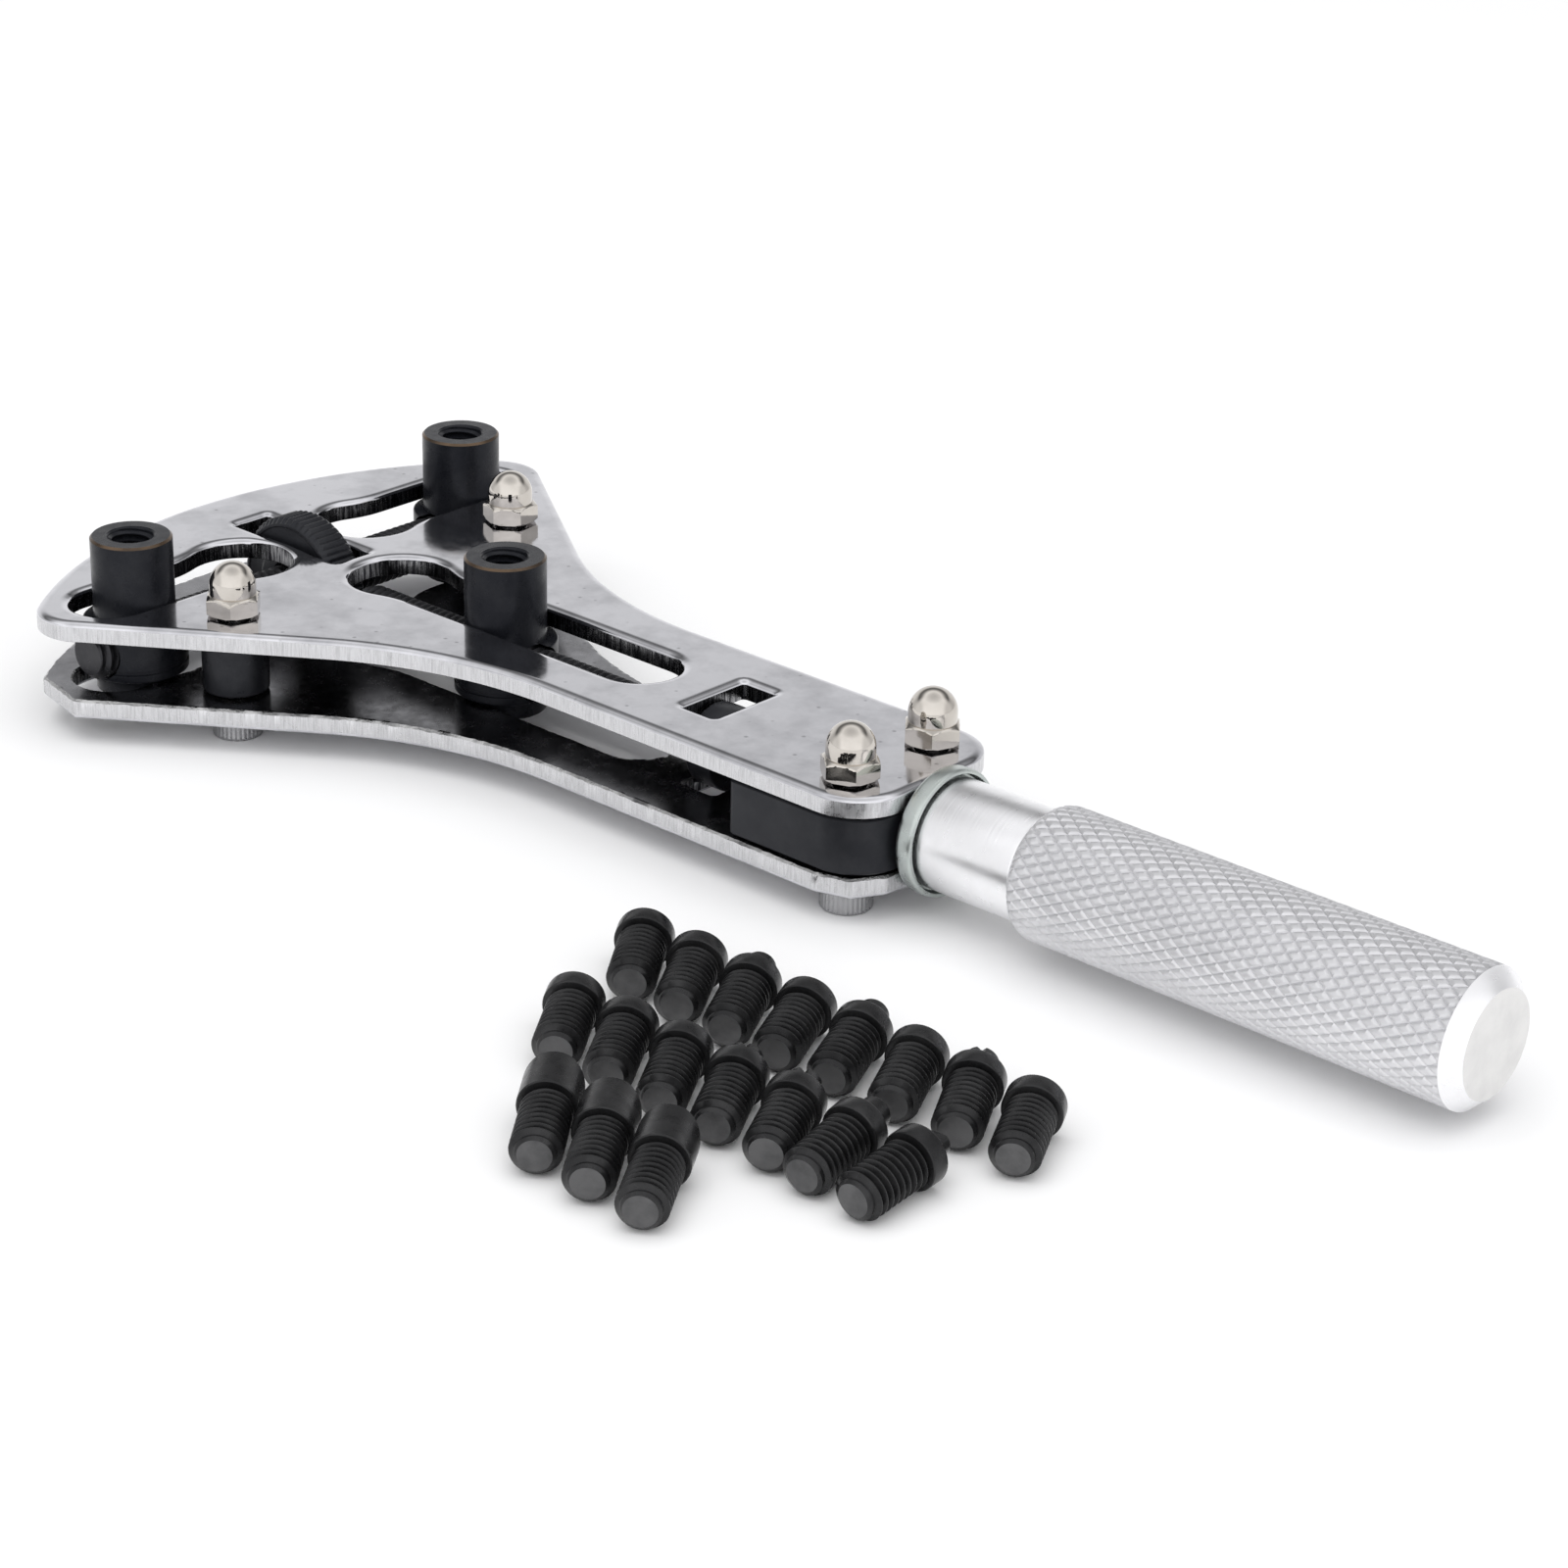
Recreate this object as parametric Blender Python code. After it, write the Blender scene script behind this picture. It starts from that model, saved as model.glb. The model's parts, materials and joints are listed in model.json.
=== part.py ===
"""Adjustable three-jaw case back opener, with the set of screw-in bits that belongs to it.

X runs from the head to the handle, +Y is the right-hand side and +Z is up, towards the jaws.
The origin lies on the outer face of the bottom plate, midway between the two handle-end screws.
Sizes are in millimetres and are turned into metres where each mesh is made.
"""
import math

import bmesh
import bpy
from mathutils import Matrix, Vector

MM = 0.001
GAP = 0.3                  # running clearance left between touching or sliding pieces

# Body: two plates held apart by a block and two spacers
PLATE_T = 2.2
PLATE_GAP = 6.6
BODY_T = 2 * PLATE_T + PLATE_GAP
AXIS_Z = BODY_T / 2        # both spindles lie midway between the plates

# Plate outline, drawn for +Y and mirrored
FRONT_X = -105.6           # foremost point of the bowed front edge
FRONT_R = 53.4
TIP_R = 5.3                # round wing tips of the top plate
FLANK_ANGLE = math.radians(35)
WAIST_R = 45.0             # hollow curve between a wing and the straight part
WAIST_X = -38.0            # where the straight part begins
HALF_W = 11.2
END_X = 6.0
END_R = 6.0

# Fasteners (M3)
HANDLE_BOLT = (0.0, 6.26)
HEAD_BOLT = (-76.3, 20.8)
BOLT_R = 1.5
BOLT_HOLE_R = BOLT_R + GAP
BOLT_GRIP = 3.0            # length of bolt inside a cap nut
HEAD_R, HEAD_H = 2.75, 3.0
SEAT_R, SEAT_DEPTH = 3.1, 0.3          # spot face for each screw head
CHAMFER = 0.3
HEX_KEY_R, HEX_KEY_DEPTH = 1.45, 1.4
NUT_R, NUT_HEX_H = 3.18, 2.4
NUT_DOME_R, NUT_DOME_Z = 2.54, 3.46
SPACER_R = 3.65

# Jaws and their slots
RIM = 0.25                 # bevel round the top of a jaw
MOUTH = 0.5                # countersink of its hole
JAW_X, JAW_Y = -88.6, 24.6
CENTRE_JAW_X = -55.5
POST_R = 4.5
POST_TOP = 6.84            # height of a jaw above the top plate
FLANGE_R = 5.7
BIT_HOLE_R, BIT_HOLE_DEPTH = 2.2, 8.2
SLOT_HALF = 4.65
KEYHOLE_R = 5.9
HEAD_SLOT_END_Y = 27.7     # centre of the slot's outer round end
HEAD_KEYHOLE_Y = 9.4
CENTRE_SLOT_END_X = -35.2
CENTRE_KEYHOLE_X = -72.2

# Head spindle and thumb wheel, along Y
ROD_R = 2.9
ROD_CHAMFER = 0.5
HEAD_ROD_HALF = 31.3
WHEEL_R, WHEEL_HALF_T, WHEEL_BEVEL = 8.2, 2.2, 0.6
WHEEL_WINDOW = (-89.0, 8.8, 2.55)      # centre x, half length, half width

# Handle spindle, along X
ROD_START_X, SHOULDER_X, ROD_END_X = -78.0, -24.5, 23.4
JOURNAL_R = 2.1            # the rod is turned down past its thread to run through the block
COLLAR_WINDOW = (-22.2, 2.35, 4.75)
COLLAR_R, COLLAR_X, COLLAR_T = 4.5, -24.2, 3.4
BLOCK_X0, BLOCK_X1, BLOCK_HALF_W = -12.2, 5.7, 10.9
WASHER_R, WASHER_X0, WASHER_X1 = 6.75, 6.3, 8.4
WASHER_ROUND = 0.5
CUP_R, CUP_X = 6.2, 7.4    # recess in the washer that takes the end of the handle's neck
NECK_R, NECK_X0, NECK_X1 = 5.9, 7.7, 20.2
GRIP_R, GRIP_X1, HANDLE_END_X, HANDLE_END_R = 7.0, 70.3, 71.9, 5.4

# Screw-in bits (M5), lying on the surface that the tool stands on
FLOOR_Z = -HEAD_H
BIT_THREAD_R, BIT_THREAD_L = 2.45, 7.8
BIT_HEAD_R, BIT_HEAD_L = 2.9, 2.0
WEDGE_L = 5.0
WEDGE_EDGE = 0.9           # height of the wedge's edge off the axis, as a share of the head's radius
BIT_ROW_STEP = 6.9

ROUND_SIDES = 28
SMALL_SIDES = 16
BIT_SIDES = 12

TO_X = Matrix.Rotation(math.radians(90), 4, "Y")       # turns +Z into +X
TO_Y = Matrix.Rotation(math.radians(-90), 4, "X")      # turns +Z into +Y


def clear_scene():
    """Start from an empty file."""
    for obj in list(bpy.data.objects):
        bpy.data.objects.remove(obj, do_unlink=True)


def finish(name, colour, roughness, metallic=1.0):
    """A plain Principled material."""
    material = bpy.data.materials.new(name)
    material.use_nodes = True
    shader = material.node_tree.nodes["Principled BSDF"]
    shader.inputs["Base Color"].default_value = (*colour, 1.0)
    shader.inputs["Roughness"].default_value = roughness
    shader.inputs["Metallic"].default_value = metallic
    return material


def arc(centre, radius, start, end, steps):
    """Points on an arc from one angle to another, both included."""
    angles = [start + (end - start) * i / steps for i in range(steps + 1)]
    return [(centre[0] + radius * math.cos(a), centre[1] + radius * math.sin(a)) for a in angles]


def prism(outline, low, high):
    """A straight-sided solid standing on an outline in the XY plane."""
    bm = bmesh.new()
    floor = [bm.verts.new((x, y, low)) for x, y in outline]
    roof = [bm.verts.new((x, y, high)) for x, y in outline]
    bm.faces.new(reversed(floor))
    bm.faces.new(roof)
    for i in range(len(outline)):
        j = (i + 1) % len(outline)
        bm.faces.new((floor[i], floor[j], roof[j], roof[i]))
    return bm


def turned(profile, sides, axis=None, ring=False):
    """A solid turned about Z, or about another axis, from (radius, height) points.

    A ring's profile is a closed loop; any other profile begins and ends on the axis.
    """
    bm = bmesh.new()
    offset = math.pi / sides           # a flat side, not a corner, faces each main direction
    rows = []
    for radius, height in profile:
        if radius == 0:
            rows.append([bm.verts.new((0, 0, height))])
            continue
        angles = [offset + math.tau * i / sides for i in range(sides)]
        rows.append([bm.verts.new((radius * math.cos(a), radius * math.sin(a), height)) for a in angles])
    pairs = list(zip(rows, rows[1:]))
    if ring:
        pairs.append((rows[-1], rows[0]))
    for lower, upper in pairs:
        for i in range(sides):
            j = (i + 1) % sides
            if len(lower) == 1:
                bm.faces.new((lower[0], upper[j], upper[i]))
            elif len(upper) == 1:
                bm.faces.new((lower[i], lower[j], upper[0]))
            else:
                bm.faces.new((lower[i], lower[j], upper[j], upper[i]))
    if axis is not None:
        bmesh.ops.transform(bm, matrix=axis, verts=bm.verts)
    return bm


def joined(*meshes):
    """Several separate bodies in one mesh, for a cutter."""
    whole = bmesh.new()
    for bm in meshes:
        piece = bpy.data.meshes.new("piece")
        bmesh.ops.recalc_face_normals(bm, faces=bm.faces)
        bm.to_mesh(piece)
        bm.free()
        whole.from_mesh(piece)
        bpy.data.meshes.remove(piece)
    return whole


def make(name, bm, material, at=(0, 0, 0), turn=(0, 0, 0)):
    """Turn a mesh in millimetres into a named object in metres."""
    bmesh.ops.scale(bm, vec=(MM, MM, MM), verts=bm.verts)
    bmesh.ops.recalc_face_normals(bm, faces=bm.faces)
    mesh = bpy.data.meshes.new(name)
    bm.to_mesh(mesh)
    bm.free()
    mesh.materials.append(material)
    mesh.shade_smooth()
    mesh.set_sharp_from_angle(angle=math.radians(35))
    obj = bpy.data.objects.new(name, mesh)
    obj.location = Vector(at) * MM
    obj.rotation_euler = turn
    bpy.context.collection.objects.link(obj)
    return obj


def combine(target, bm, material, operation="DIFFERENCE"):
    """Cut a shape out of an unturned object, or join it on, where the shape is drawn about its origin."""
    tool = make(f"{target.name}_{operation.lower()}", bm, material)
    tool.parent = target
    tool.hide_render = True
    tool.display_type = "WIRE"
    boolean = target.modifiers.new(operation.lower(), "BOOLEAN")
    boolean.operation = operation
    boolean.object = tool


def moved(bm, x=0.0, y=0.0, z=0.0):
    """Shift a mesh in millimetres."""
    bmesh.ops.translate(bm, vec=(x, y, z), verts=bm.verts)
    return bm


def mirrored(half):
    """Complete an outline that runs over +Y from the front to the handle end."""
    return half + [(x, -y) for x, y in reversed(half) if y != 0]


def flank():
    """Plate edge from the wing tip's tangent angle to the straight part and the handle end."""
    normal = math.pi / 2 - FLANK_ANGLE
    return arc((WAIST_X, HALF_W + WAIST_R), WAIST_R, normal + math.pi, 1.5 * math.pi, 8)


def top_outline():
    """Bowed front, round wing tips, hollow flanks and round handle-end corners."""
    centre = (FRONT_X + FRONT_R, 0.0)
    reach = FRONT_R - TIP_R
    # The tip's centre lies where its circle touches both the front arc and the flank's line.
    nx, ny = math.sin(FLANK_ANGLE), math.cos(FLANK_ANGLE)
    start_x, start_y = flank()[0]
    offset = (start_x - centre[0]) * nx + start_y * ny - TIP_R
    along = math.sqrt(reach ** 2 - offset ** 2)
    tip = (centre[0] + nx * offset - ny * along, ny * offset + nx * along)
    tip_angle = math.atan2(tip[1], tip[0] - centre[0])
    front = arc(centre, FRONT_R, math.pi, tip_angle, 12)
    wing = arc(tip, TIP_R, tip_angle, math.pi / 2 - FLANK_ANGLE, 6)[1:]
    corner = arc((END_X - END_R, HALF_W - END_R), END_R, math.pi / 2, 0, 6)
    return mirrored(front + wing + flank() + corner)


def bottom_outline():
    """The same edge as the top plate's, with sheared instead of rounded corners."""
    centre = (FRONT_X + FRONT_R, 0.0)
    front = arc(centre, FRONT_R, math.pi, math.radians(141), 9)
    wing = [(-86.2, 35.4)]
    corner = [(-0.2, HALF_W), (3.8, 9.9), (5.6, 6.6), (END_X, 3.2)]
    return mirrored(front + wing + flank() + corner)


def keyhole(end, hole):
    """A slot along X from its round end back to the larger hole at its head end."""
    mouth = math.asin(SLOT_HALF / KEYHOLE_R)
    points = arc((end, 0), SLOT_HALF, math.pi / 2, -math.pi / 2, 8)
    return points + arc((hole, 0), KEYHOLE_R, -mouth, mouth - math.tau, 14)


def box_outline(window):
    """A rectangle from its centre x, half length and half width."""
    x, half_x, half_y = window
    return [(x - half_x, -half_y), (x + half_x, -half_y), (x + half_x, half_y), (x - half_x, half_y)]


def bolt_places():
    """Every bolt: its name, x and y."""
    for where, (x, y) in (("handle", HANDLE_BOLT), ("head", HEAD_BOLT)):
        for side, sign in (("left", -1), ("right", 1)):
            yield where, side, x, sign * y


def plate_cutter(low, high, seat_r):
    """Slots, windows and bolt holes, which both plates share, with a seat round each bolt's lower end."""
    outlines = [keyhole(CENTRE_SLOT_END_X, CENTRE_KEYHOLE_X)]
    for side in (-1, 1):
        outlines.append([(JAW_X + y, side * x) for x, y in keyhole(HEAD_SLOT_END_Y, HEAD_KEYHOLE_Y)])
    outlines += [box_outline(WHEEL_WINDOW), box_outline(COLLAR_WINDOW)]
    cutters = [prism(points, low - 1, high + 1) for points in outlines]
    hole = [(0, low - 1), (seat_r, low - 1), (seat_r, low + SEAT_DEPTH), (BOLT_HOLE_R, low + SEAT_DEPTH),
            (BOLT_HOLE_R, high + 1), (0, high + 1)]
    cutters += [moved(turned(hole, BIT_SIDES), x, y) for _, _, x, y in bolt_places()]
    return joined(*cutters)


def make_plates(steel):
    """Top and bottom plate."""
    for name, outline, low, seat_r in (("bottom_plate", bottom_outline(), 0.0, SEAT_R),
                                       ("top_plate", top_outline(), BODY_T - PLATE_T, BOLT_HOLE_R + CHAMFER)):
        plate = make(name, prism(outline, low, low + PLATE_T), steel)
        combine(plate, plate_cutter(low, low + PLATE_T, seat_r), steel)


def make_block(black):
    """Block between the plates at the handle end, bored for the spindle and two bolts."""
    radius = END_R - GAP
    inner = BLOCK_X1 - radius
    corner = arc((inner, BLOCK_HALF_W - radius), radius, math.pi / 2, 0, 5)
    outline = mirrored([(BLOCK_X0, BLOCK_HALF_W)] + corner)
    low, high = PLATE_T + GAP, BODY_T - PLATE_T - GAP
    block = make("end_block", prism(outline, low, high), black)
    length = BLOCK_X1 - BLOCK_X0 + 2
    bore_r = JOURNAL_R + GAP
    bore = turned([(0, 0), (bore_r, 0), (bore_r, length), (0, length)], SMALL_SIDES, TO_X)
    holes = [moved(bore, BLOCK_X0 - 1, 0, AXIS_Z)]
    hole = [(0, low - 1), (BOLT_HOLE_R, low - 1), (BOLT_HOLE_R, high + 1), (0, high + 1)]
    for sign in (-1, 1):
        holes.append(moved(turned(hole, BIT_SIDES), HANDLE_BOLT[0], sign * HANDLE_BOLT[1]))
    combine(block, joined(*holes), black)


def make_spacers(black):
    """Round spacers on the two head bolts."""
    low, high = PLATE_T + GAP, BODY_T - PLATE_T - GAP
    profile = [(BOLT_HOLE_R, low), (SPACER_R, low), (SPACER_R, high), (BOLT_HOLE_R, high)]
    for side, sign in (("left", -1), ("right", 1)):
        make(f"head_spacer_{side}", turned(profile, SMALL_SIDES, ring=True), black,
             (HEAD_BOLT[0], sign * HEAD_BOLT[1], 0))


def make_fasteners(steel, nickel):
    """Socket-head screws from below, with cap nuts on the top plate."""
    top, under_head = BODY_T + BOLT_GRIP, SEAT_DEPTH - GAP
    screw = [(0, -HEAD_H), (HEAD_R - CHAMFER, -HEAD_H), (HEAD_R, CHAMFER - HEAD_H), (HEAD_R, under_head),
             (BOLT_R, under_head), (BOLT_R, top), (0, top)]
    socket = [(0, -HEAD_H - 1), (HEX_KEY_R, -HEAD_H - 1), (HEX_KEY_R, HEX_KEY_DEPTH - HEAD_H),
              (0, HEX_KEY_DEPTH - HEAD_H)]
    foot, hex_top = BODY_T + GAP, BODY_T + NUT_HEX_H
    dome = arc((0, BODY_T + NUT_DOME_Z), NUT_DOME_R, 0, math.pi / 2, 4)
    bore_top = BODY_T + BOLT_GRIP + GAP
    cap = [(0, bore_top), (BOLT_HOLE_R, bore_top), (BOLT_HOLE_R, foot), (NUT_DOME_R, foot)]
    cap += dome[:-1] + [(0, dome[-1][1])]
    for where, side, x, y in bolt_places():
        body = make(f"{where}_screw_{side}", turned(screw, BIT_SIDES), steel, (x, y, 0))
        combine(body, turned(socket, 6), steel)
        nut = make(f"{where}_nut_{side}", turned(cap, BIT_SIDES), nickel, (x, y, 0))
        inner = BOLT_HOLE_R + 0.2
        collar = turned([(inner, foot), (NUT_R, foot), (NUT_R, hex_top), (inner, hex_top)], 6, ring=True)
        combine(nut, collar, nickel, "UNION")


def make_jaw(name, x, y, rod_axis, black):
    """A jaw: post with a threaded hole for a bit, flange between the plates, stub through the slot."""
    low, high = PLATE_T + GAP, BODY_T - PLATE_T - GAP
    top = BODY_T + POST_TOP
    floor = top - BIT_HOLE_DEPTH
    profile = [(0, GAP), (POST_R - CHAMFER, GAP), (POST_R, GAP + CHAMFER), (POST_R, low), (FLANGE_R, low),
               (FLANGE_R, high), (POST_R, high), (POST_R, top - RIM), (POST_R - RIM, top),
               (BIT_HOLE_R + MOUTH, top), (BIT_HOLE_R, top - MOUTH), (BIT_HOLE_R, floor), (0, floor)]
    profile = [(r, z - AXIS_Z) for r, z in profile]
    jaw = make(name, turned(profile, ROUND_SIDES), black, (x, y, AXIS_Z))
    bore, half = ROD_R + GAP, FLANGE_R + 1
    combine(jaw, turned([(0, -half), (bore, -half), (bore, half), (0, half)], SMALL_SIDES, rod_axis), black)


def make_head_drive(steel, black):
    """Spindle across the head with its thumb wheel."""
    half = HEAD_ROD_HALF
    rod = [(0, -half), (ROD_R - ROD_CHAMFER, -half), (ROD_R, ROD_CHAMFER - half),
           (ROD_R, half - ROD_CHAMFER), (ROD_R - ROD_CHAMFER, half), (0, half)]
    make("head_spindle", turned(rod, SMALL_SIDES, TO_Y), steel, (JAW_X, 0, AXIS_Z))
    bore, thick, bevel = ROD_R + GAP, WHEEL_HALF_T, WHEEL_BEVEL
    wheel = [(bore, -thick), (WHEEL_R - bevel, -thick), (WHEEL_R, bevel - thick),
             (WHEEL_R, thick - bevel), (WHEEL_R - bevel, thick), (bore, thick)]
    make("head_wheel", turned(wheel, ROUND_SIDES, TO_Y, ring=True), black, (JAW_X, 0, AXIS_Z))


def make_handle_drive(steel, black, zinc, aluminium):
    """Spindle along the body, with its collar, thrust washer and knurled handle."""
    axis = (0, 0, AXIS_Z)
    rod = [(0, ROD_START_X), (ROD_R - ROD_CHAMFER, ROD_START_X), (ROD_R, ROD_START_X + ROD_CHAMFER),
           (ROD_R, SHOULDER_X), (JOURNAL_R, SHOULDER_X), (JOURNAL_R, ROD_END_X), (0, ROD_END_X)]
    make("handle_spindle", turned(rod, SMALL_SIDES, TO_X), steel, axis)
    bore = JOURNAL_R + GAP
    collar_end = COLLAR_X + COLLAR_T
    collar = [(bore, COLLAR_X), (COLLAR_R, COLLAR_X), (COLLAR_R, collar_end), (bore, collar_end)]
    make("spindle_collar", turned(collar, ROUND_SIDES, TO_X, ring=True), black, axis)
    washer = [(bore, WASHER_X0), (WASHER_R - WASHER_ROUND, WASHER_X0), (WASHER_R, WASHER_X0 + WASHER_ROUND),
              (WASHER_R, WASHER_X1 - WASHER_ROUND), ((WASHER_R + CUP_R) / 2, WASHER_X1), (CUP_R, WASHER_X1),
              (CUP_R, CUP_X), (bore, CUP_X)]
    make("thrust_washer", turned(washer, ROUND_SIDES, TO_X, ring=True), zinc, axis)
    bore_end = ROD_END_X + GAP
    swell = GRIP_R - NECK_R
    grip = [(0, bore_end), (bore, bore_end), (bore, NECK_X0), (NECK_R - CHAMFER, NECK_X0),
            (NECK_R, NECK_X0 + CHAMFER), (NECK_R, NECK_X1), (NECK_R + 0.6 * swell, NECK_X1 + 0.4 * swell),
            (GRIP_R, NECK_X1 + 1.3 * swell), (GRIP_R, GRIP_X1), (HANDLE_END_R, HANDLE_END_X), (0, HANDLE_END_X)]
    make("handle", turned(grip, ROUND_SIDES, TO_X), aluminium, axis)


def bit_profile(tip):
    """Threaded shank along -X from the head, which carries the given tip points along +X."""
    shank = [(0, -BIT_THREAD_L), (BIT_THREAD_R - ROD_CHAMFER, -BIT_THREAD_L),
             (BIT_THREAD_R, ROD_CHAMFER - BIT_THREAD_L), (BIT_THREAD_R, 0), (BIT_HEAD_R, 0)]
    return shank + tip


def pin_bit(radius, length):
    """A bit whose tip is a round pin."""
    end = BIT_HEAD_L + length
    tip = [(BIT_HEAD_R, BIT_HEAD_L), (radius, BIT_HEAD_L), (radius, end), (0, end)]
    return turned(bit_profile(tip), BIT_SIDES, TO_X)


def wedge_bit():
    """A bit with a tall round head that one slanting flat brings to a knife edge."""
    bm = turned(bit_profile([(BIT_HEAD_R, WEDGE_L), (0, WEDGE_L)]), BIT_SIDES, TO_X)
    edge = Vector((WEDGE_L, 0, WEDGE_EDGE * BIT_HEAD_R))
    heel = Vector((BIT_HEAD_L, 0, -BIT_HEAD_R))
    outward = (edge - heel).cross(Vector((0, 1, 0))).normalized()
    outward = outward if outward.x > 0 else -outward
    geometry = bm.verts[:] + bm.edges[:] + bm.faces[:]
    bmesh.ops.bisect_plane(bm, geom=geometry, dist=1e-5, plane_co=edge, plane_no=outward, clear_outer=True)
    rim = [edge for edge in bm.edges if edge.is_boundary]
    bmesh.ops.contextual_create(bm, geom=rim)
    return bm


BITS = {
    "pin_bit_small": lambda: pin_bit(0.75, 1.7),
    "pin_bit_medium": lambda: pin_bit(1.0, 1.9),
    "flat_pin_bit": lambda: pin_bit(1.25, 2.4),
    "pin_bit_large": lambda: pin_bit(1.55, 2.6),
    "slotted_bit": lambda: pin_bit(1.7, 2.4),
    "wedge_bit": wedge_bit,
}

# Rows of bits, each from its first place: kinds in order, and the way each one points
BIT_ROWS = (
    ((-4.4, -31.0), ("pin_bit_medium", "pin_bit_medium", "pin_bit_large", "pin_bit_small",
                     "pin_bit_large", "flat_pin_bit", "slotted_bit", "pin_bit_small"),
     (125, 121, 117, 113, 112, 115, 119, 117)),
    ((0.4, -45.4), ("pin_bit_small", "pin_bit_medium", "flat_pin_bit", "slotted_bit", "slotted_bit",
                     "pin_bit_large", "flat_pin_bit"),
     (124, 122, 121, 119, 116, 100, 93)),
    ((12.6, -60.6), ("wedge_bit", "wedge_bit", "wedge_bit"), (127, 125, 122)),
)


def make_bits(black):
    """Every bit lies on its head's rim and the end of its thread, so it tilts a little."""
    tilt = math.atan2(BIT_HEAD_R - BIT_THREAD_R, BIT_THREAD_L - ROD_CHAMFER)
    height = FLOOR_Z + BIT_HEAD_R * math.cos(tilt)
    count = dict.fromkeys(BITS, 0)
    for (x, y), kinds, angles in BIT_ROWS:
        for place, (kind, angle) in enumerate(zip(kinds, angles)):
            count[kind] += 1
            make(f"{kind}_{count[kind]}", BITS[kind](), black, (x + place * BIT_ROW_STEP, y, height),
                 (0, -tilt, math.radians(angle)))


def main():
    """Build every sub-part."""
    clear_scene()
    chrome = finish("polished_steel", (0.78, 0.78, 0.79), 0.12)
    steel = finish("machined_steel", (0.42, 0.42, 0.43), 0.35)
    nickel = finish("nickel", (0.78, 0.74, 0.68), 0.15)
    zinc = finish("zinc", (0.72, 0.74, 0.70), 0.25)
    black = finish("black_oxide", (0.035, 0.035, 0.04), 0.4)
    aluminium = finish("aluminium", (0.80, 0.80, 0.82), 0.3)
    make_plates(chrome)
    make_block(black)
    make_spacers(black)
    make_fasteners(steel, nickel)
    make_jaw("head_jaw_left", JAW_X, -JAW_Y, TO_Y, black)
    make_jaw("head_jaw_right", JAW_X, JAW_Y, TO_Y, black)
    make_jaw("centre_jaw", CENTRE_JAW_X, 0, TO_X, black)
    make_head_drive(steel, black)
    make_handle_drive(steel, black, zinc, aluminium)
    make_bits(black)


main()
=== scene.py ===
"""Finished surfaces of an adjustable three-jaw case back opener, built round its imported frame.

X runs from the head to the handle, +Y is the right-hand side and +Z is up, the way the jaws point.
Shapes are worked out in millimetres, and become metres when a piece is made.
"""

import json
import logging
import math
from dataclasses import dataclass
from enum import Enum
from typing import Callable, Iterator

import bpy
import numpy as np
from mathutils import Matrix, Vector
from mathutils.geometry import delaunay_2d_cdt


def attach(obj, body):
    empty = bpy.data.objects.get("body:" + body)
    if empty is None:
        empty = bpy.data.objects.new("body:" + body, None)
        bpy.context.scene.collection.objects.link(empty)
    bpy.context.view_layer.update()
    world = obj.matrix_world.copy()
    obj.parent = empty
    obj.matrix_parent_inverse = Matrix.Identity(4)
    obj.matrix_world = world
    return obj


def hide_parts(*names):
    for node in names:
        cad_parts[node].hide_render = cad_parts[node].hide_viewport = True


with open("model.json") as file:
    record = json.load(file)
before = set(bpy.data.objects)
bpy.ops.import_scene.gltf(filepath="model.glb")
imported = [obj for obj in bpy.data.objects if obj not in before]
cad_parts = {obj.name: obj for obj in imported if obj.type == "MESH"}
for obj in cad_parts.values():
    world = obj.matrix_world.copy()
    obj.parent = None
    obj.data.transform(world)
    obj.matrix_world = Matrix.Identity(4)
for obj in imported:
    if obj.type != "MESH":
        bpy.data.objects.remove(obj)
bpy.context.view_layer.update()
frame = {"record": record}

LOG = logging.getLogger("case_back_opener")
MM = 0.001
TAU = 2 * math.pi
QUARTER = math.pi / 2
WELD = 1e-4                # points closer than this are one
GAP = 0.3                  # running clearance
JOURNAL_R = 2.1            # the handle's spindle, where it turns in the block
ROD_CREST, ROD_ROOT, ROD_NECK, ROD_PITCH = 2.88, 2.3, 2.25, 1.0
BIT_PITCH = 0.8
FLOOR_Z = -3.0             # what the screw heads and the bits stand on
SHARP_ANGLE = math.radians(38)
Point = tuple[float, float, float]
Shape = Callable[[np.ndarray, np.ndarray, np.ndarray], np.ndarray]  # from angle, height and plain radius
Limit = Callable[[np.ndarray], np.ndarray]                          # radius by height


class Axis(Enum):
    """Where a turned piece's own axis points, as the order in which its columns are read."""

    X = (2, 0, 1)
    Y = (1, 2, 0)
    Z = (0, 1, 2)


class Pattern(Enum):
    """How the fine texture of a finish runs."""

    CLOUDY = "cloudy"
    ALONG_X = "lines round the X axis"
    RINGS = "rings round a centre"
    UPRIGHT = "upright streaks"


# ---------------------------------------------------------------- finishes


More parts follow.
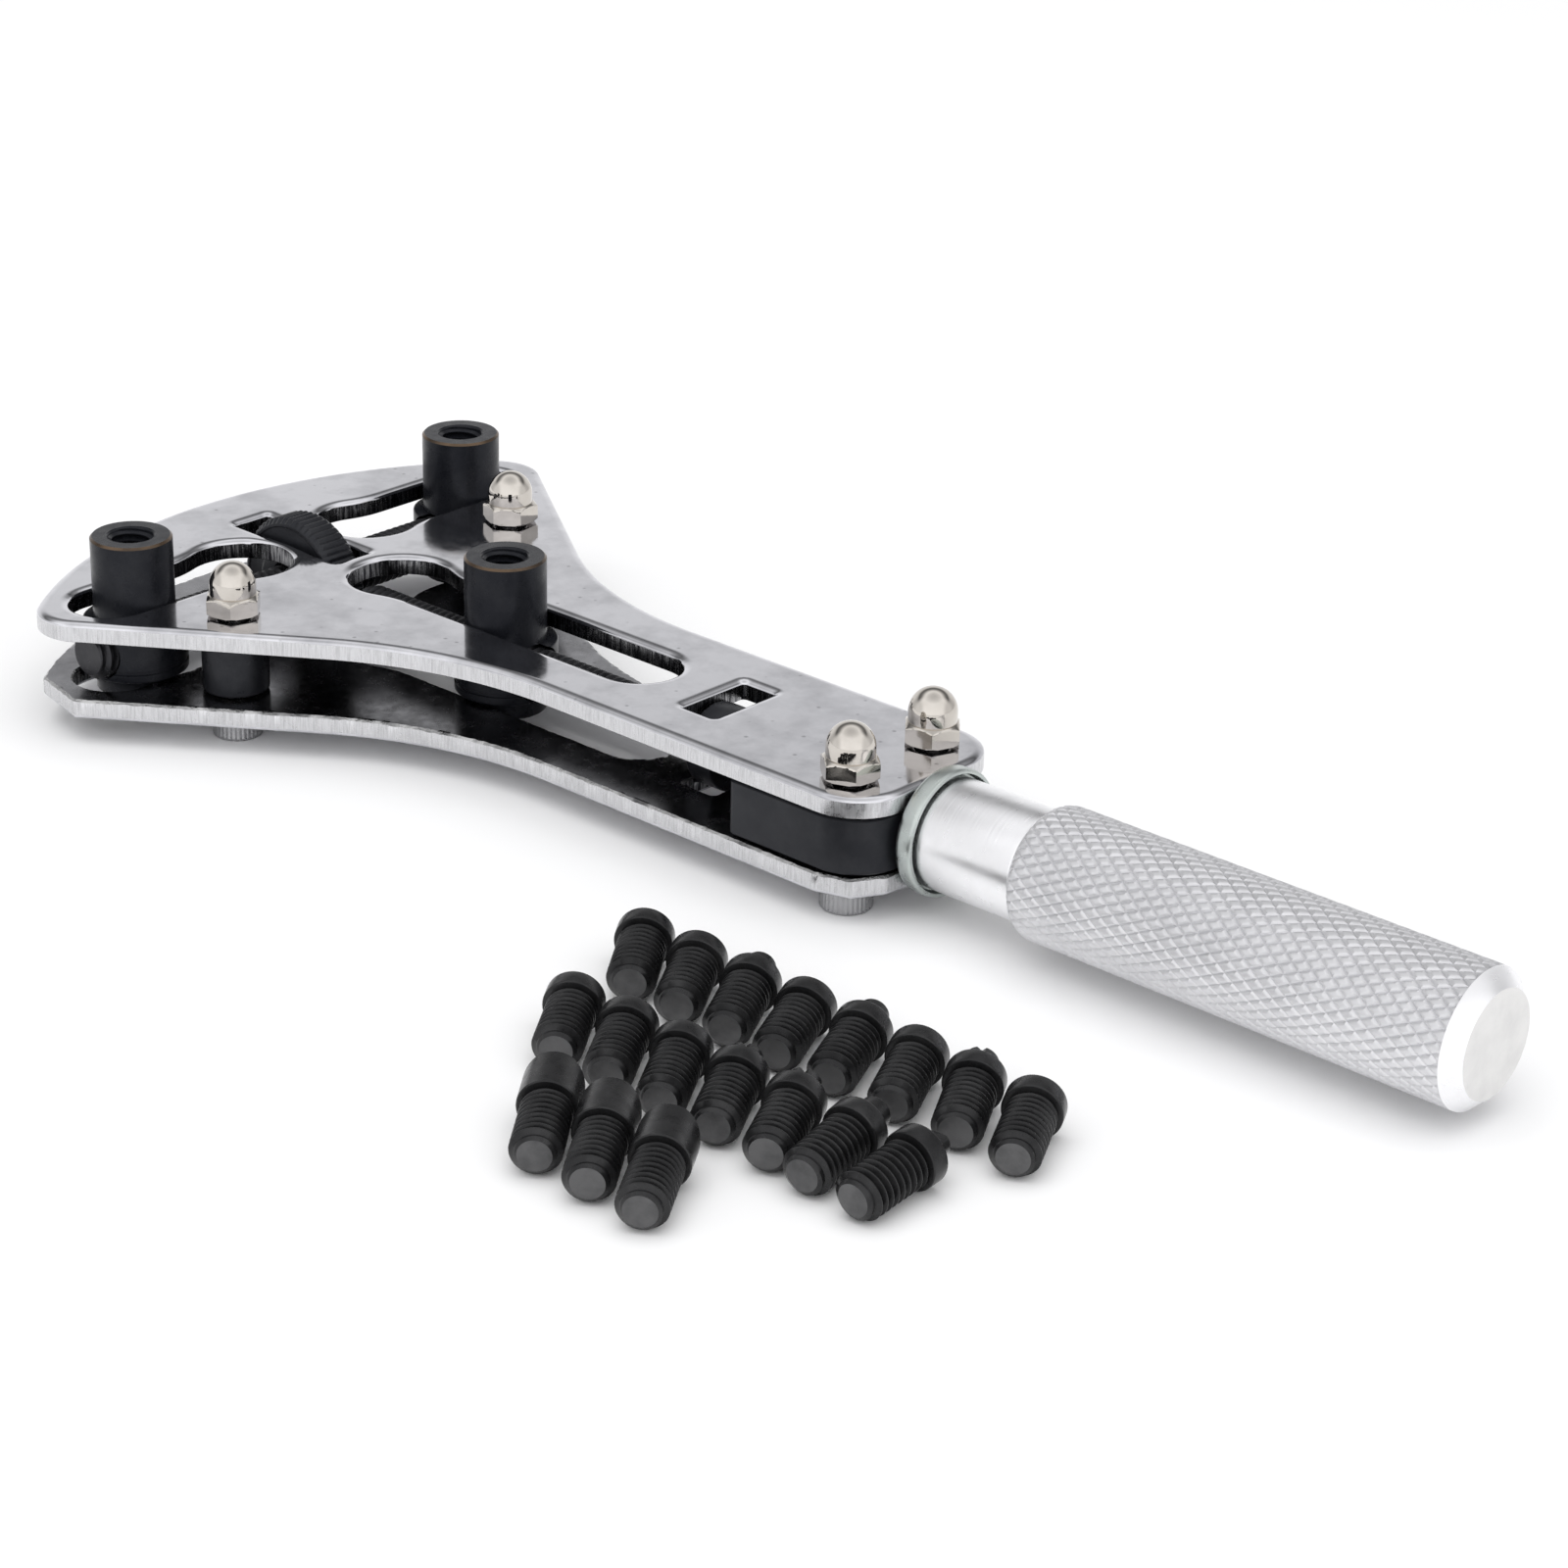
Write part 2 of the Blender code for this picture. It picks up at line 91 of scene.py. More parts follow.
class Graph:
    """The node tree of a material or world, with short ways to add what the finishes use."""

    def __init__(self, owner: bpy.types.Material | bpy.types.World, shader: str = "Principled BSDF") -> None:
        """Start with the owner's own shader.

        Args:
            owner: the material or world.
            shader: that shader's name.
        """
        owner.use_nodes = True
        self.tree = owner.node_tree
        self.shader = self.tree.nodes[shader]

    def node(self, kind: str, inputs: dict[str, object], **settings: object) -> bpy.types.Node:
        """Add a node.

        Args:
            kind: the node's type.
            inputs: values or sockets for its inputs, by name.
            settings: its own properties.

        Returns:
            The node.
        """
        made = self.tree.nodes.new(kind)
        for key, value in settings.items():
            setattr(made, key, value)
        for key, value in inputs.items():
            socket = made.inputs[int(key)] if key.isdigit() else made.inputs[key]
            if isinstance(value, bpy.types.NodeSocket):
                self.tree.links.new(value, socket)
            else:
                socket.default_value = value
        return made

    def place(self, scale: Point, centre: Point = (0, 0, 0)) -> bpy.types.NodeSocket:
        """Object coordinates, moved to a centre and stretched.

        Args:
            scale: stretch along each axis, per metre.
            centre: the point, in metres, that becomes the origin.

        Returns:
            The vector socket.
        """
        source = self.node("ShaderNodeTexCoord", {}).outputs["Object"]
        shift = tuple(-c * s for c, s in zip(centre, scale))
        values = {"Vector": source, "Scale": scale, "Location": shift}
        return self.node("ShaderNodeMapping", values).outputs[0]

    def noise(self, vector: bpy.types.NodeSocket, detail: float = 3.0) -> bpy.types.NodeSocket:
        """Fractal noise of size one on a stretched vector."""
        values = {"Vector": vector, "Scale": 1.0, "Detail": detail, "Roughness": 0.6}
        return self.node("ShaderNodeTexNoise", values).outputs[0]

    def spread(self, value: bpy.types.NodeSocket, low: float, high: float, *, start: float = 0.3,
               end: float = 0.7, smooth: bool = False) -> bpy.types.NodeSocket:
        """Map a range onto two limits.

        Args:
            value: a noise, or any other value.
            low: result at start.
            high: result at end.
            start: value that gives low.
            end: value that gives high.
            smooth: whether it eases in and out.

        Returns:
            The mapped value.
        """
        values = {"Value": value, "From Min": start, "From Max": end, "To Min": low, "To Max": high}
        curve = "SMOOTHSTEP" if smooth else "LINEAR"
        return self.node("ShaderNodeMapRange", values, interpolation_type=curve).outputs[0]

    def blend(self, share: bpy.types.NodeSocket, first: Point | bpy.types.NodeSocket,
              second: Point) -> bpy.types.NodeSocket:
        """Mix two colours.

        Args:
            share: how much of the second.
            first: a colour, or the socket of one.
            second: a colour.

        Returns:
            The colour socket.
        """
        begin = first if isinstance(first, bpy.types.NodeSocket) else (*first, 1.0)
        values = {"Factor": share, "6": begin, "7": (*second, 1.0)}
        return self.node("ShaderNodeMix", values, data_type="RGBA").outputs[2]

    def bump(self, height: bpy.types.NodeSocket, depth_mm: float) -> bpy.types.NodeSocket:
        """Turn a height from 0 to 1 into a bump as many millimetres deep."""
        values = {"Height": height, "Distance": depth_mm * MM, "Strength": 1.0}
        return self.node("ShaderNodeBump", values).outputs[0]

    def set(self, name: str, value: object) -> None:
        """Set or link one of the shader's sockets.

        Args:
            name: the socket's name.
            value: a plain value, or a socket to link.
        """
        socket = self.shader.inputs[name]
        if isinstance(value, bpy.types.NodeSocket):
            self.tree.links.new(value, socket)
        else:
            socket.default_value = value


@dataclass(frozen=True)
class MetalFinish:
    """A metal surface: its tone, how it varies, and the fine lines or clouds left by its making."""

    name: str
    tone: Point
    stain: Point
    rough: tuple[float, float]
    pattern: Pattern = Pattern.CLOUDY
    pitch_mm: float = 2.0
    depth_mm: float = 0.002
    metallic: float = 1.0
    specks: float = 0.0
    cloud_mm: float = 4.0
    gloss: float = 0.5
    centre: Point = (0.0, 0.0, 0.0)
    ring_axes: Point = (1.0, 1.0, 0.0)

    @property
    def material_name(self) -> str:
        """The material's own name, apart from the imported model's."""
        return f"{self.name}_finish"

    def texture(self, graph: Graph) -> bpy.types.NodeSocket:
        """The pattern's height: noise that is stretched along the way the tool marks run.

        Args:
            graph: the material's nodes.

        Returns:
            The height, about 0.3 to 0.7.
        """
        fine = 1 / (self.pitch_mm * MM)
        if self.pattern is Pattern.ALONG_X:
            return graph.noise(graph.place((fine, 12, 12)), 1.0)
        if self.pattern is Pattern.UPRIGHT:
            return graph.noise(graph.place((fine, fine, fine / 14)), 3.0)
        if self.pattern is Pattern.RINGS:
            flat = graph.place(tuple(fine * a for a in self.ring_axes), self.centre)
            reach = graph.node("ShaderNodeVectorMath", {"0": flat}, operation="LENGTH").outputs["Value"]
            return graph.node("ShaderNodeTexNoise", {"W": reach, "Scale": 1.0, "Detail": 2.0},
                              noise_dimensions="1D").outputs[0]
        return graph.noise(graph.place((fine, fine, fine)))

    def build(self) -> bpy.types.Material:
        """Make the material.

        Returns:
            A material that reads only object coordinates.
        """
        material = bpy.data.materials.new(self.material_name)
        graph = Graph(material)
        graph.set("Metallic", self.metallic)
        height = self.texture(graph)
        graph.set("Specular IOR Level", self.gloss)
        cloud = graph.noise(graph.place((1 / (self.cloud_mm * MM),) * 3), 4.0)
        share = height if self.pattern is Pattern.UPRIGHT else cloud
        colour = graph.blend(graph.spread(share, 0.0, 1.0, start=0.42, end=0.72), self.tone, self.stain)
        if self.specks:
            cell = graph.node("ShaderNodeTexVoronoi", {"Vector": graph.place((1, 1, 1)), "Scale": 420.0})
            spot = graph.spread(cell.outputs["Distance"], self.specks, 0.0, start=0.05, end=0.13)
            colour = graph.blend(spot, colour, tuple(0.3 * s for s in self.stain))
        graph.set("Base Color", colour)
        graph.set("Roughness", graph.spread(graph.noise(graph.place((700.0, 700.0, 700.0))), *self.rough))
        graph.set("Normal", graph.bump(height, self.depth_mm))
        return material


@dataclass(frozen=True)
class Finishes:
    """Every finish of the tool, each in its record slot's name where it has one."""

    plate = MetalFinish("polished_plate", (0.68, 0.68, 0.71), (0.46, 0.46, 0.485), (0.07, 0.15),
                        pitch_mm=1.6, depth_mm=0.0012, specks=0.5, cloud_mm=7.0)
    # The bottom plate's upper face, between the plates: a darker copy of the polished plate finish; the
    # darker tone is painted shade.
    inner = MetalFinish("inner_plate_painted_shade", (0.30, 0.30, 0.315), (0.16, 0.16, 0.17), (0.17, 0.3),
                        pitch_mm=1.2, depth_mm=0.002, specks=0.6, cloud_mm=7.0)
    # The walls of the plates' holes: the near-black tone is painted shade inside the slots, windows and bolt
    # holes; the bright upright streaks are real shear marks.
    cut = MetalFinish("hole_wall_painted_shade", (0.035, 0.035, 0.04), (0.5, 0.5, 0.51), (0.16, 0.36),
                      Pattern.UPRIGHT, 0.24, 0.04)
    # The top plate's underside: a duller finish whose near-black tone is painted shade between the plates.
    inside = MetalFinish("dull_underside_painted_shade", (0.05, 0.05, 0.055), (0.03, 0.03, 0.033), (0.25, 0.4),
                         pitch_mm=1.6, depth_mm=0.002, metallic=0.8)
    wall = MetalFinish("sheared_wall", (0.66, 0.66, 0.675), (0.48, 0.48, 0.49), (0.18, 0.36),
                       Pattern.UPRIGHT, 0.16, 0.012)
    torn = MetalFinish("torn_edge", (0.5, 0.5, 0.5), (0.06, 0.06, 0.065), (0.18, 0.45),
                       pitch_mm=0.25, depth_mm=0.08, specks=0.8)
    nickel = MetalFinish("nickel_nut", (0.62, 0.585, 0.54), (0.54, 0.505, 0.46), (0.04, 0.09),
                         pitch_mm=0.5, depth_mm=0.0015)
    zinc = MetalFinish("zinc_washer", (0.52, 0.56, 0.54), (0.46, 0.5, 0.49), (0.24, 0.36),
                       pitch_mm=0.4, depth_mm=0.003)
    screw = MetalFinish("screw_steel", (0.4, 0.4, 0.41), (0.3, 0.3, 0.31), (0.22, 0.36),
                        pitch_mm=0.4, depth_mm=0.004)
    black = MetalFinish("black_steel", (0.017, 0.018, 0.022), (0.028, 0.029, 0.033), (0.24, 0.42),
                        pitch_mm=0.22, depth_mm=0.005, metallic=0.45, specks=0.12, gloss=0.28)
    block = MetalFinish("block_black", (0.016, 0.017, 0.021), (0.026, 0.027, 0.031), (0.3, 0.46),
                        pitch_mm=0.35, depth_mm=0.006, metallic=0.4, gloss=0.3)
    bit = MetalFinish("bit_steel", (0.018, 0.018, 0.019), (0.04, 0.04, 0.041), (0.2, 0.38),
                      pitch_mm=0.16, depth_mm=0.006, metallic=0.5, gloss=0.36)
    bit_end = MetalFinish("bit_end", (0.12, 0.12, 0.122), (0.06, 0.06, 0.062), (0.3, 0.5),
                          pitch_mm=0.5, depth_mm=0.02, metallic=0.8)
    rod = MetalFinish("rod_steel", (0.04, 0.04, 0.044), (0.022, 0.022, 0.025), (0.22, 0.4),
                      pitch_mm=0.4, depth_mm=0.004, metallic=0.8)
    worn = MetalFinish("worn_rim", (0.13, 0.09, 0.06), (0.05, 0.04, 0.033), (0.25, 0.4),
                       pitch_mm=0.5, depth_mm=0.004, metallic=0.9)
    neck = MetalFinish("turned_aluminium", (0.95, 0.95, 0.965), (0.91, 0.91, 0.92), (0.26, 0.34),
                       Pattern.ALONG_X, 0.3, 0.012)
    grip = MetalFinish("knurled_aluminium", (0.75, 0.75, 0.765), (0.70, 0.70, 0.715), (0.44, 0.58),
                       pitch_mm=0.3, depth_mm=0.004)
    end_face = MetalFinish("faced_aluminium", (0.78, 0.775, 0.765), (0.70, 0.695, 0.69), (0.3, 0.42),
                           Pattern.RINGS, 0.16, 0.008, centre=(0.0, 0.0, 0.0055), ring_axes=(0.0, 1.0, 1.0))

    @staticmethod
    def jaw(x: float, y: float) -> MetalFinish:
        """Black oxide with the lathe's rings about a jaw's own centre.

        Args:
            x: the centre's place, in millimetres.
            y: the same, across the tool.

        Returns:
            The finish.
        """
        return MetalFinish("jaw_black", (0.012, 0.013, 0.017), (0.022, 0.023, 0.027), (0.22, 0.38),
                           Pattern.RINGS, 0.2, 0.008, metallic=0.3, specks=0.2, gloss=0.18,
                           centre=(x * MM, y * MM, 0.0))


# ---------------------------------------------------------------- surfaces


class Shell:
    """One closed surface, gathered from sheets that share their edges."""

    def __init__(self) -> None:
        """Start with nothing."""
        self.points: list[np.ndarray] = []
        self.quads: list[np.ndarray] = []
        self.slots: list[np.ndarray] = []
        self.count = 0

    def add(self, points: np.ndarray, faces: np.ndarray, slot: int = 0) -> None:
        """Add points and the faces on them.

        Args:
            points: places, three numbers each.
            faces: corner numbers, four each; a triangle repeats its last.
            slot: material slot of these faces.
        """
        self.points.append(points.reshape(-1, 3))
        self.quads.append(faces + self.count)
        self.slots.append(np.full(len(faces), slot))
        self.count += len(self.points[-1])

    def sheet(self, grid: np.ndarray, slot: int = 0) -> None:
        """Cover a grid with quads.

        Args:
            grid: points, row by column.
            slot: material slot.
        """
        index = np.arange(grid.shape[0] * grid.shape[1]).reshape(grid.shape[:2])
        quads = np.stack([index[:-1, :-1], index[:-1, 1:], index[1:, 1:], index[1:, :-1]], axis=-1)
        self.add(grid, quads.reshape(-1, 4), slot)

    def spin(self, profile: np.ndarray | list[tuple[float, float]], sides: int, slot: int = 0,
             shape: Shape | None = None) -> "Shell":
        """Add a profile turned round the axis.

        Args:
            profile: (radius, height) rows.
            sides: columns round the axis.
            slot: material slot.
            shape: gives the radius at an angle, height and plain radius.

        Returns:
            This shell.
        """
        self.sheet(turned(np.array(profile, float), sides, shape), slot)
        return self

    def valley_sheet(self, grid: np.ndarray, height: np.ndarray, slot: int = 0) -> None:
        """Cover a grid with triangles, each cell split along its lower diagonal, so that grooves run true.

        Args:
            grid: points, row by column.
            height: how high each point stands.
            slot: material slot.
        """
        index = np.arange(height.size).reshape(height.shape)
        a, b, c, d = index[:-1, :-1], index[:-1, 1:], index[1:, 1:], index[1:, :-1]
        rising = height[:-1, :-1] + height[1:, 1:] < height[:-1, 1:] + height[1:, :-1]
        first = np.where(rising[..., None], np.stack([a, b, c, c], -1), np.stack([a, b, d, d], -1))
        second = np.where(rising[..., None], np.stack([a, c, d, d], -1), np.stack([b, c, d, d], -1))
        self.add(grid, np.concatenate([first, second]).reshape(-1, 4), slot)

    def welded(self) -> tuple[np.ndarray, np.ndarray, np.ndarray]:
        """Merge the sheets' shared edges.

        Points that round to the same place become one, faces that collapse are dropped, and the whole is
        turned the right way out: its volume, a sum of origin tetrahedra, has to be positive.

        Returns:
            Points, faces of four corners (a triangle repeats its last) and each face's slot.
        """
        points = np.concatenate(self.points)
        faces, slots = np.concatenate(self.quads), np.concatenate(self.slots)
        keys = np.round(points / WELD + 0.137).astype(np.int64)
        _, first, inverse = np.unique(keys, axis=0, return_index=True, return_inverse=True)
        points, faces = points[first], inverse.reshape(-1)[faces]
        same = faces == np.roll(faces, -1, axis=1)
        folded = (faces[:, 0] == faces[:, 2]) | (faces[:, 1] == faces[:, 3])
        keep = ~folded & (same.sum(1) < 2)
        faces, slots, same = faces[keep], slots[keep], same[keep]
        triangle = same.any(1)
        corners = faces[triangle][~same[triangle]].reshape(-1, 3)
        faces[triangle] = np.column_stack([corners, corners[:, 2]])
        a, b, c, d = (points[faces[:, k]] for k in range(4))
        volume = np.einsum("ij,ij->", a, np.cross(b, c)) + np.einsum("ij,ij->", a, np.cross(c, d))
        if volume < 0:
            flipped = faces[:, ::-1].copy()
            flipped[triangle] = faces[triangle][:, [0, 2, 1, 1]]
            faces = flipped
        return points, faces, slots

    def mesh(self, name: str, axis: Axis, at: Point, turn: Matrix | None = None) -> bpy.types.Mesh:
        """Make Blender's mesh, in place and in metres.

        Args:
            name: the mesh's name.
            axis: where the shell's own Z points.
            at: where its origin goes, in millimetres.
            turn: a further turn, before it is moved.

        Returns:
            The mesh.
        """
        points, faces, slots = self.welded()
        points = points[:, list(axis.value)]
        if turn is not None:
            points = points @ np.array(turn.to_3x3()).T
        points = (points + np.array(at)) * MM
        triangle = faces[:, 2] == faces[:, 3]
        mesh = bpy.data.meshes.new(name)
        mesh.from_pydata(points, [], [f[:3] if t else f for f, t in zip(faces.tolist(), triangle.tolist())])
        mesh.polygons.foreach_set("material_index", slots.astype(np.int32))
        mesh.shade_smooth()
        mesh.set_sharp_from_angle(angle=SHARP_ANGLE)
        return mesh


def place_piece(shell: Shell, node: str, finishes: list[MetalFinish], axis: Axis = Axis.Z,
                at: Point = (0, 0, 0), turn: Matrix | None = None) -> bpy.types.Object:
    """Make a shell into the piece that stands for a CAD node and rides on its body.

    Args:
        shell: the piece's surface.
        node: the CAD node.
        finishes: a finish for each of the shell's slots.
        axis: where the shell's own Z points.
        at: where its origin goes, in millimetres.
        turn: a further turn, before it is moved.

    Returns:
        The piece.
    """
    name = f"finished_{node}"
    piece = bpy.data.objects.new(name, shell.mesh(name, axis, at, turn))
    for finish in finishes:
        known = bpy.data.materials.get(finish.material_name) if finish.pattern is not Pattern.RINGS else None
        piece.data.materials.append(known or finish.build())
    bpy.context.scene.collection.objects.link(piece)
    bodies = frame["record"]["behaviour"]["bodies"]
    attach(piece, next(body for body, nodes in bodies.items() if node in nodes))
    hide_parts(node)
    LOG.info("%s: %d faces", name, len(piece.data.polygons))
    return piece


def bored(piece: bpy.types.Object, radius: float, reach: tuple[float, float], sides: int, axis: Axis,
          at: Point) -> None:
    """Drill a round hole through a piece and keep the result as its mesh.

    Args:
        piece: what is drilled.
        radius: the hole's.
        reach: where the drill begins and ends along its axis.
        sides: how many the hole has.
        axis: where the drill points.
        at: where its origin goes, in millimetres.
    """
    low, high = reach
    drill = Shell().spin([(0, low), (radius, low), (radius, high), (0, high)], sides)
    tool = bpy.data.objects.new("drill", drill.mesh("drill", axis, at))
    bpy.context.scene.collection.objects.link(tool)
    boolean = piece.modifiers.new("bore", "BOOLEAN")
    boolean.operation = "DIFFERENCE"
    boolean.object = tool
    graph = bpy.context.evaluated_depsgraph_get()
    cut = bpy.data.meshes.new_from_object(piece.evaluated_get(graph))
    piece.modifiers.clear()
    old, piece.data = piece.data, cut
    cut.name = old.name
    cut.shade_smooth()
    cut.set_sharp_from_angle(angle=SHARP_ANGLE)
    bpy.data.objects.remove(tool, do_unlink=True)


def eased(corners: list[tuple[float, ...]], steps: int = 5) -> np.ndarray:
    """A profile whose corners are rounded off.

    A corner with a third number is replaced by a parabola that starts and ends that far from it.

    Args:
        corners: (radius, height) or (radius, height, easing).
        steps: pieces of each parabola.

    Returns:
        The profile's points.
    """
    path: list[np.ndarray] = []
    t = np.linspace(0, 1, steps + 1)[:, None]
    for i, corner in enumerate(corners):
        here = np.array(corner[:2], float)
        if len(corner) < 3:
            path.append(here[None])
            continue
        before, after = np.array(corners[i - 1][:2]), np.array(corners[i + 1][:2])
        start = here + (before - here) / np.linalg.norm(before - here) * corner[2]
        end = here + (after - here) / np.linalg.norm(after - here) * corner[2]
        path.append((1 - t) ** 2 * start + 2 * t * (1 - t) * here + t ** 2 * end)
    return np.concatenate(path)


def ring(bore: float, radius: float, low: float, high: float, easing: float) -> np.ndarray:
    """The closed profile of a ring with eased outer corners.

    Args:
        bore: inner radius.
        radius: outer radius.
        low: where it begins.
        high: where it ends.
        easing: how far each outer corner is rounded.

    Returns:
        The profile's points.
    """
    return eased([(bore, low), (radius, low, easing), (radius, high, easing), (bore, high), (bore, low)], 3)


def turned(profile: np.ndarray, sides: int, shape: Shape | None = None) -> np.ndarray:
    """Carry a profile round the axis: x = r cos a, y = r sin a, z = height.

    Args:
        profile: (radius, height) rows.
        sides: columns round the axis.
        shape: gives the radius at an angle, height and plain radius.

    Returns:
        Points, a row for each of the profile's and one column more than sides.
    """
    angle = np.linspace(0, TAU, sides + 1)[None, :]
    radius = np.repeat(profile[:, :1], sides + 1, axis=1)
    height = np.repeat(profile[:, 1:], sides + 1, axis=1)
    if shape is not None:
        radius = shape(angle + 0 * radius, height, radius)
    return np.stack([radius * np.cos(angle), radius * np.sin(angle), height], axis=-1)


@dataclass(frozen=True)
class Thread:
    """A screw thread: flat crests an eighth of the pitch wide, straight flanks and rounded roots."""

    root: float
    crest: float
    pitch: float
    hand: int = 1
    sides: int = 48
    rows = (-0.08, 0.0, 0.08, 0.36, 0.5, 0.64)      # where a turn's rows lie, in pitches from the crest
    fall = (0.07, 0.37)                             # where the flank begins and ends, the same way

    def sheet(self, low: float, high: float, envelope: Limit, inside: bool = False) -> np.ndarray:
        """The thread's surface between two heights, its rows running along the helix.

        A point's phase is height / pitch - hand * angle / turn. Its radius falls from crest to root as the
        phase leaves a whole number, and the envelope limits it: from above outside, from below in a hole.

        Args:
            low: where it begins.
            high: where it ends.
            envelope: the limiting radius at a height.
            inside: whether this is a hole's thread.

        Returns:
            Points, row by column; rows past either end lie on that end.
        """
        angle = np.linspace(0, TAU, self.sides + 1)[None, :]
        climb = self.hand * self.pitch * angle / TAU
        first, last = math.floor(low / self.pitch) - 2, math.ceil(high / self.pitch) + 2
        phases = (np.arange(first, last)[:, None] + np.array(self.rows)).reshape(-1, 1)
        height = np.clip(phases * self.pitch + climb, low, high)
        phase = (height - climb) / self.pitch
        away = np.abs(phase - np.round(phase))
        crest_end, root_start = self.fall
        share = np.clip((root_start - away) / (root_start - crest_end), 0, 1)
        radius = self.root + (self.crest - self.root) * share
        limit = envelope(height)
        radius = np.maximum(radius, limit) if inside else np.minimum(radius, limit)
        return np.stack([radius * np.cos(angle), radius * np.sin(angle), height], axis=-1)


def ends_tapered(low: float, high: float, top: float, end: float, length: float) -> Limit:
    """An envelope of one radius that falls to another in a straight line at both ends."""
    return lambda z: np.interp(z, [low, low + length, high - length, high], [end, top, top, end])


# ---------------------------------------------------------------- plates


def arc(x: float, y: float, radius: float, start: float, end: float, steps: int) -> np.ndarray:
    """Points on an arc, both ends included: centre + radius * (cos a, sin a)."""
    a = np.linspace(start, end, steps + 1)
    return np.column_stack([x + radius * np.cos(a), y + radius * np.sin(a)])


def mirrored(half: np.ndarray) -> np.ndarray:
    """Close an outline over +Y by its mirror image, so that it runs anticlockwise."""
    other = half[::-1] * (1, -1)
    return np.concatenate([half, other[np.abs(other[:, 1]) > WELD]])[::-1]


def stepped(outline: np.ndarray, step: float) -> np.ndarray:
    """Add points to a closed outline, evenly along each side.

    Args:
        outline: its corners.
        step: how far apart two points may be.

    Returns:
        The finer outline.
    """
    ahead = np.roll(outline, -1, axis=0)
    count = np.maximum(1, np.ceil(np.linalg.norm(ahead - outline, axis=1) / step)).astype(int)
    side = np.repeat(np.arange(len(outline)), count)
    share = (np.arange(len(side)) - np.repeat(np.cumsum(count) - count, count)) / count[side]
    return outline[side] + (ahead - outline)[side] * share[:, None]


@dataclass(frozen=True)
class EdgeRow:
    """One line of a slab's edge: how far in it lies, its height and the slot of the strip above it."""

    inset: np.ndarray | float
    height: np.ndarray | float
    slot: int


class Slab(Shell):
    """A flat piece: a profile carried round its outline and round each hole, and two flat faces."""

    def __init__(self, loops: list[np.ndarray], edge: Callable[[int, np.ndarray], list[EdgeRow]],
                 under: int = 0) -> None:
        """Build the slab.

        Args:
            loops: the outline, anticlockwise, then each hole, clockwise, so that material lies to the left.
            edge: gives the rows for a loop's number and points, from the lower face to the upper.
            under: material slot of the lower face.
        """
        super().__init__()
        lower: list[np.ndarray] = []
        upper: list[np.ndarray] = []
        for number, loop in enumerate(loops):
            ahead = np.roll(loop, -1, axis=0) - loop
            ahead /= np.linalg.norm(ahead, axis=1)[:, None]
            behind = np.roll(ahead, 1, axis=0)
            inward = np.column_stack([-ahead[:, 1] - behind[:, 1], ahead[:, 0] + behind[:, 0]])
            inward /= (1 + np.einsum("ij,ij->i", ahead, behind))[:, None]      # mitred at a corner
            rows = edge(number, loop)
            lines = []
            for row in rows:
                place = loop + inward * np.broadcast_to(row.inset, len(loop))[:, None]
                lines.append(np.column_stack([place, np.broadcast_to(row.height, len(loop))]))
            closed = [np.concatenate([line, line[:1]]) for line in lines]
            for below, above, row in zip(closed, closed[1:], rows):
                self.sheet(np.stack([below, above]), row.slot)
            lower.append(lines[0])
            upper.append(lines[-1])
        self.face(lower, -1, under)
        self.face(upper, 1, 0)

    def face(self, lines: list[np.ndarray], way: int, slot: int) -> None:
        """Fill the flat between an outer line and the holes' lines.

        A triangle is kept if a line from its middle towards +X crosses the edges an odd number of times.

        Args:
            lines: closed lines of points at one height.
            way: 1 if it faces up, -1 if it faces down.
            slot: its material slot.
        """
        points = np.concatenate(lines)
        following = np.concatenate([np.roll(line, -1, axis=0) for line in lines])
        edges, start = [], 0
        for line in lines:
            number = np.arange(start, start + len(line))
            edges += np.column_stack([number, np.roll(number, -1)]).tolist()
            start += len(line)
        found = delaunay_2d_cdt([Vector(p[:2]) for p in points], edges, [], 1, 1e-6)
        corners = np.array([names[0] for names in found[3]])[np.array(found[2])]
        middle = points[corners, :2].mean(1)
        (x0, y0), (x1, y1) = points[:, :2].T, following[:, :2].T
        spans = (y0[None] > middle[:, 1:]) != (y1[None] > middle[:, 1:])
        with np.errstate(divide="ignore", invalid="ignore"):
            crossing = x0 + (middle[:, 1:] - y0) * (x1 - x0) / (y1 - y0)
        corners = corners[(spans & (crossing > middle[:, :1])).sum(1) % 2 == 1]
        a, b, c = (points[corners[:, k], :2] for k in range(3))
        turn = (b[:, 0] - a[:, 0]) * (c[:, 1] - a[:, 1]) - (b[:, 1] - a[:, 1]) * (c[:, 0] - a[:, 0])
        wrong = np.sign(turn) != way
        corners[wrong] = corners[wrong][:, ::-1]
        self.add(points, np.column_stack([corners, corners[:, 2]]), slot)


def chamfered(low: float, high: float, cut: float) -> Callable[[int, np.ndarray], list[EdgeRow]]:
    """Edge rows of a plain slab with a small chamfer above and below.

    Args:
        low: its underside.
        high: its top.
        cut: the chamfer's size.

    Returns:
        A function that gives any loop the same rows.
    """
    rows = [EdgeRow(inset, height, 0) for inset, height in
            ((cut, low), (0.0, low + cut), (0.0, high - cut), (cut, high))]
    return lambda number, loop: rows


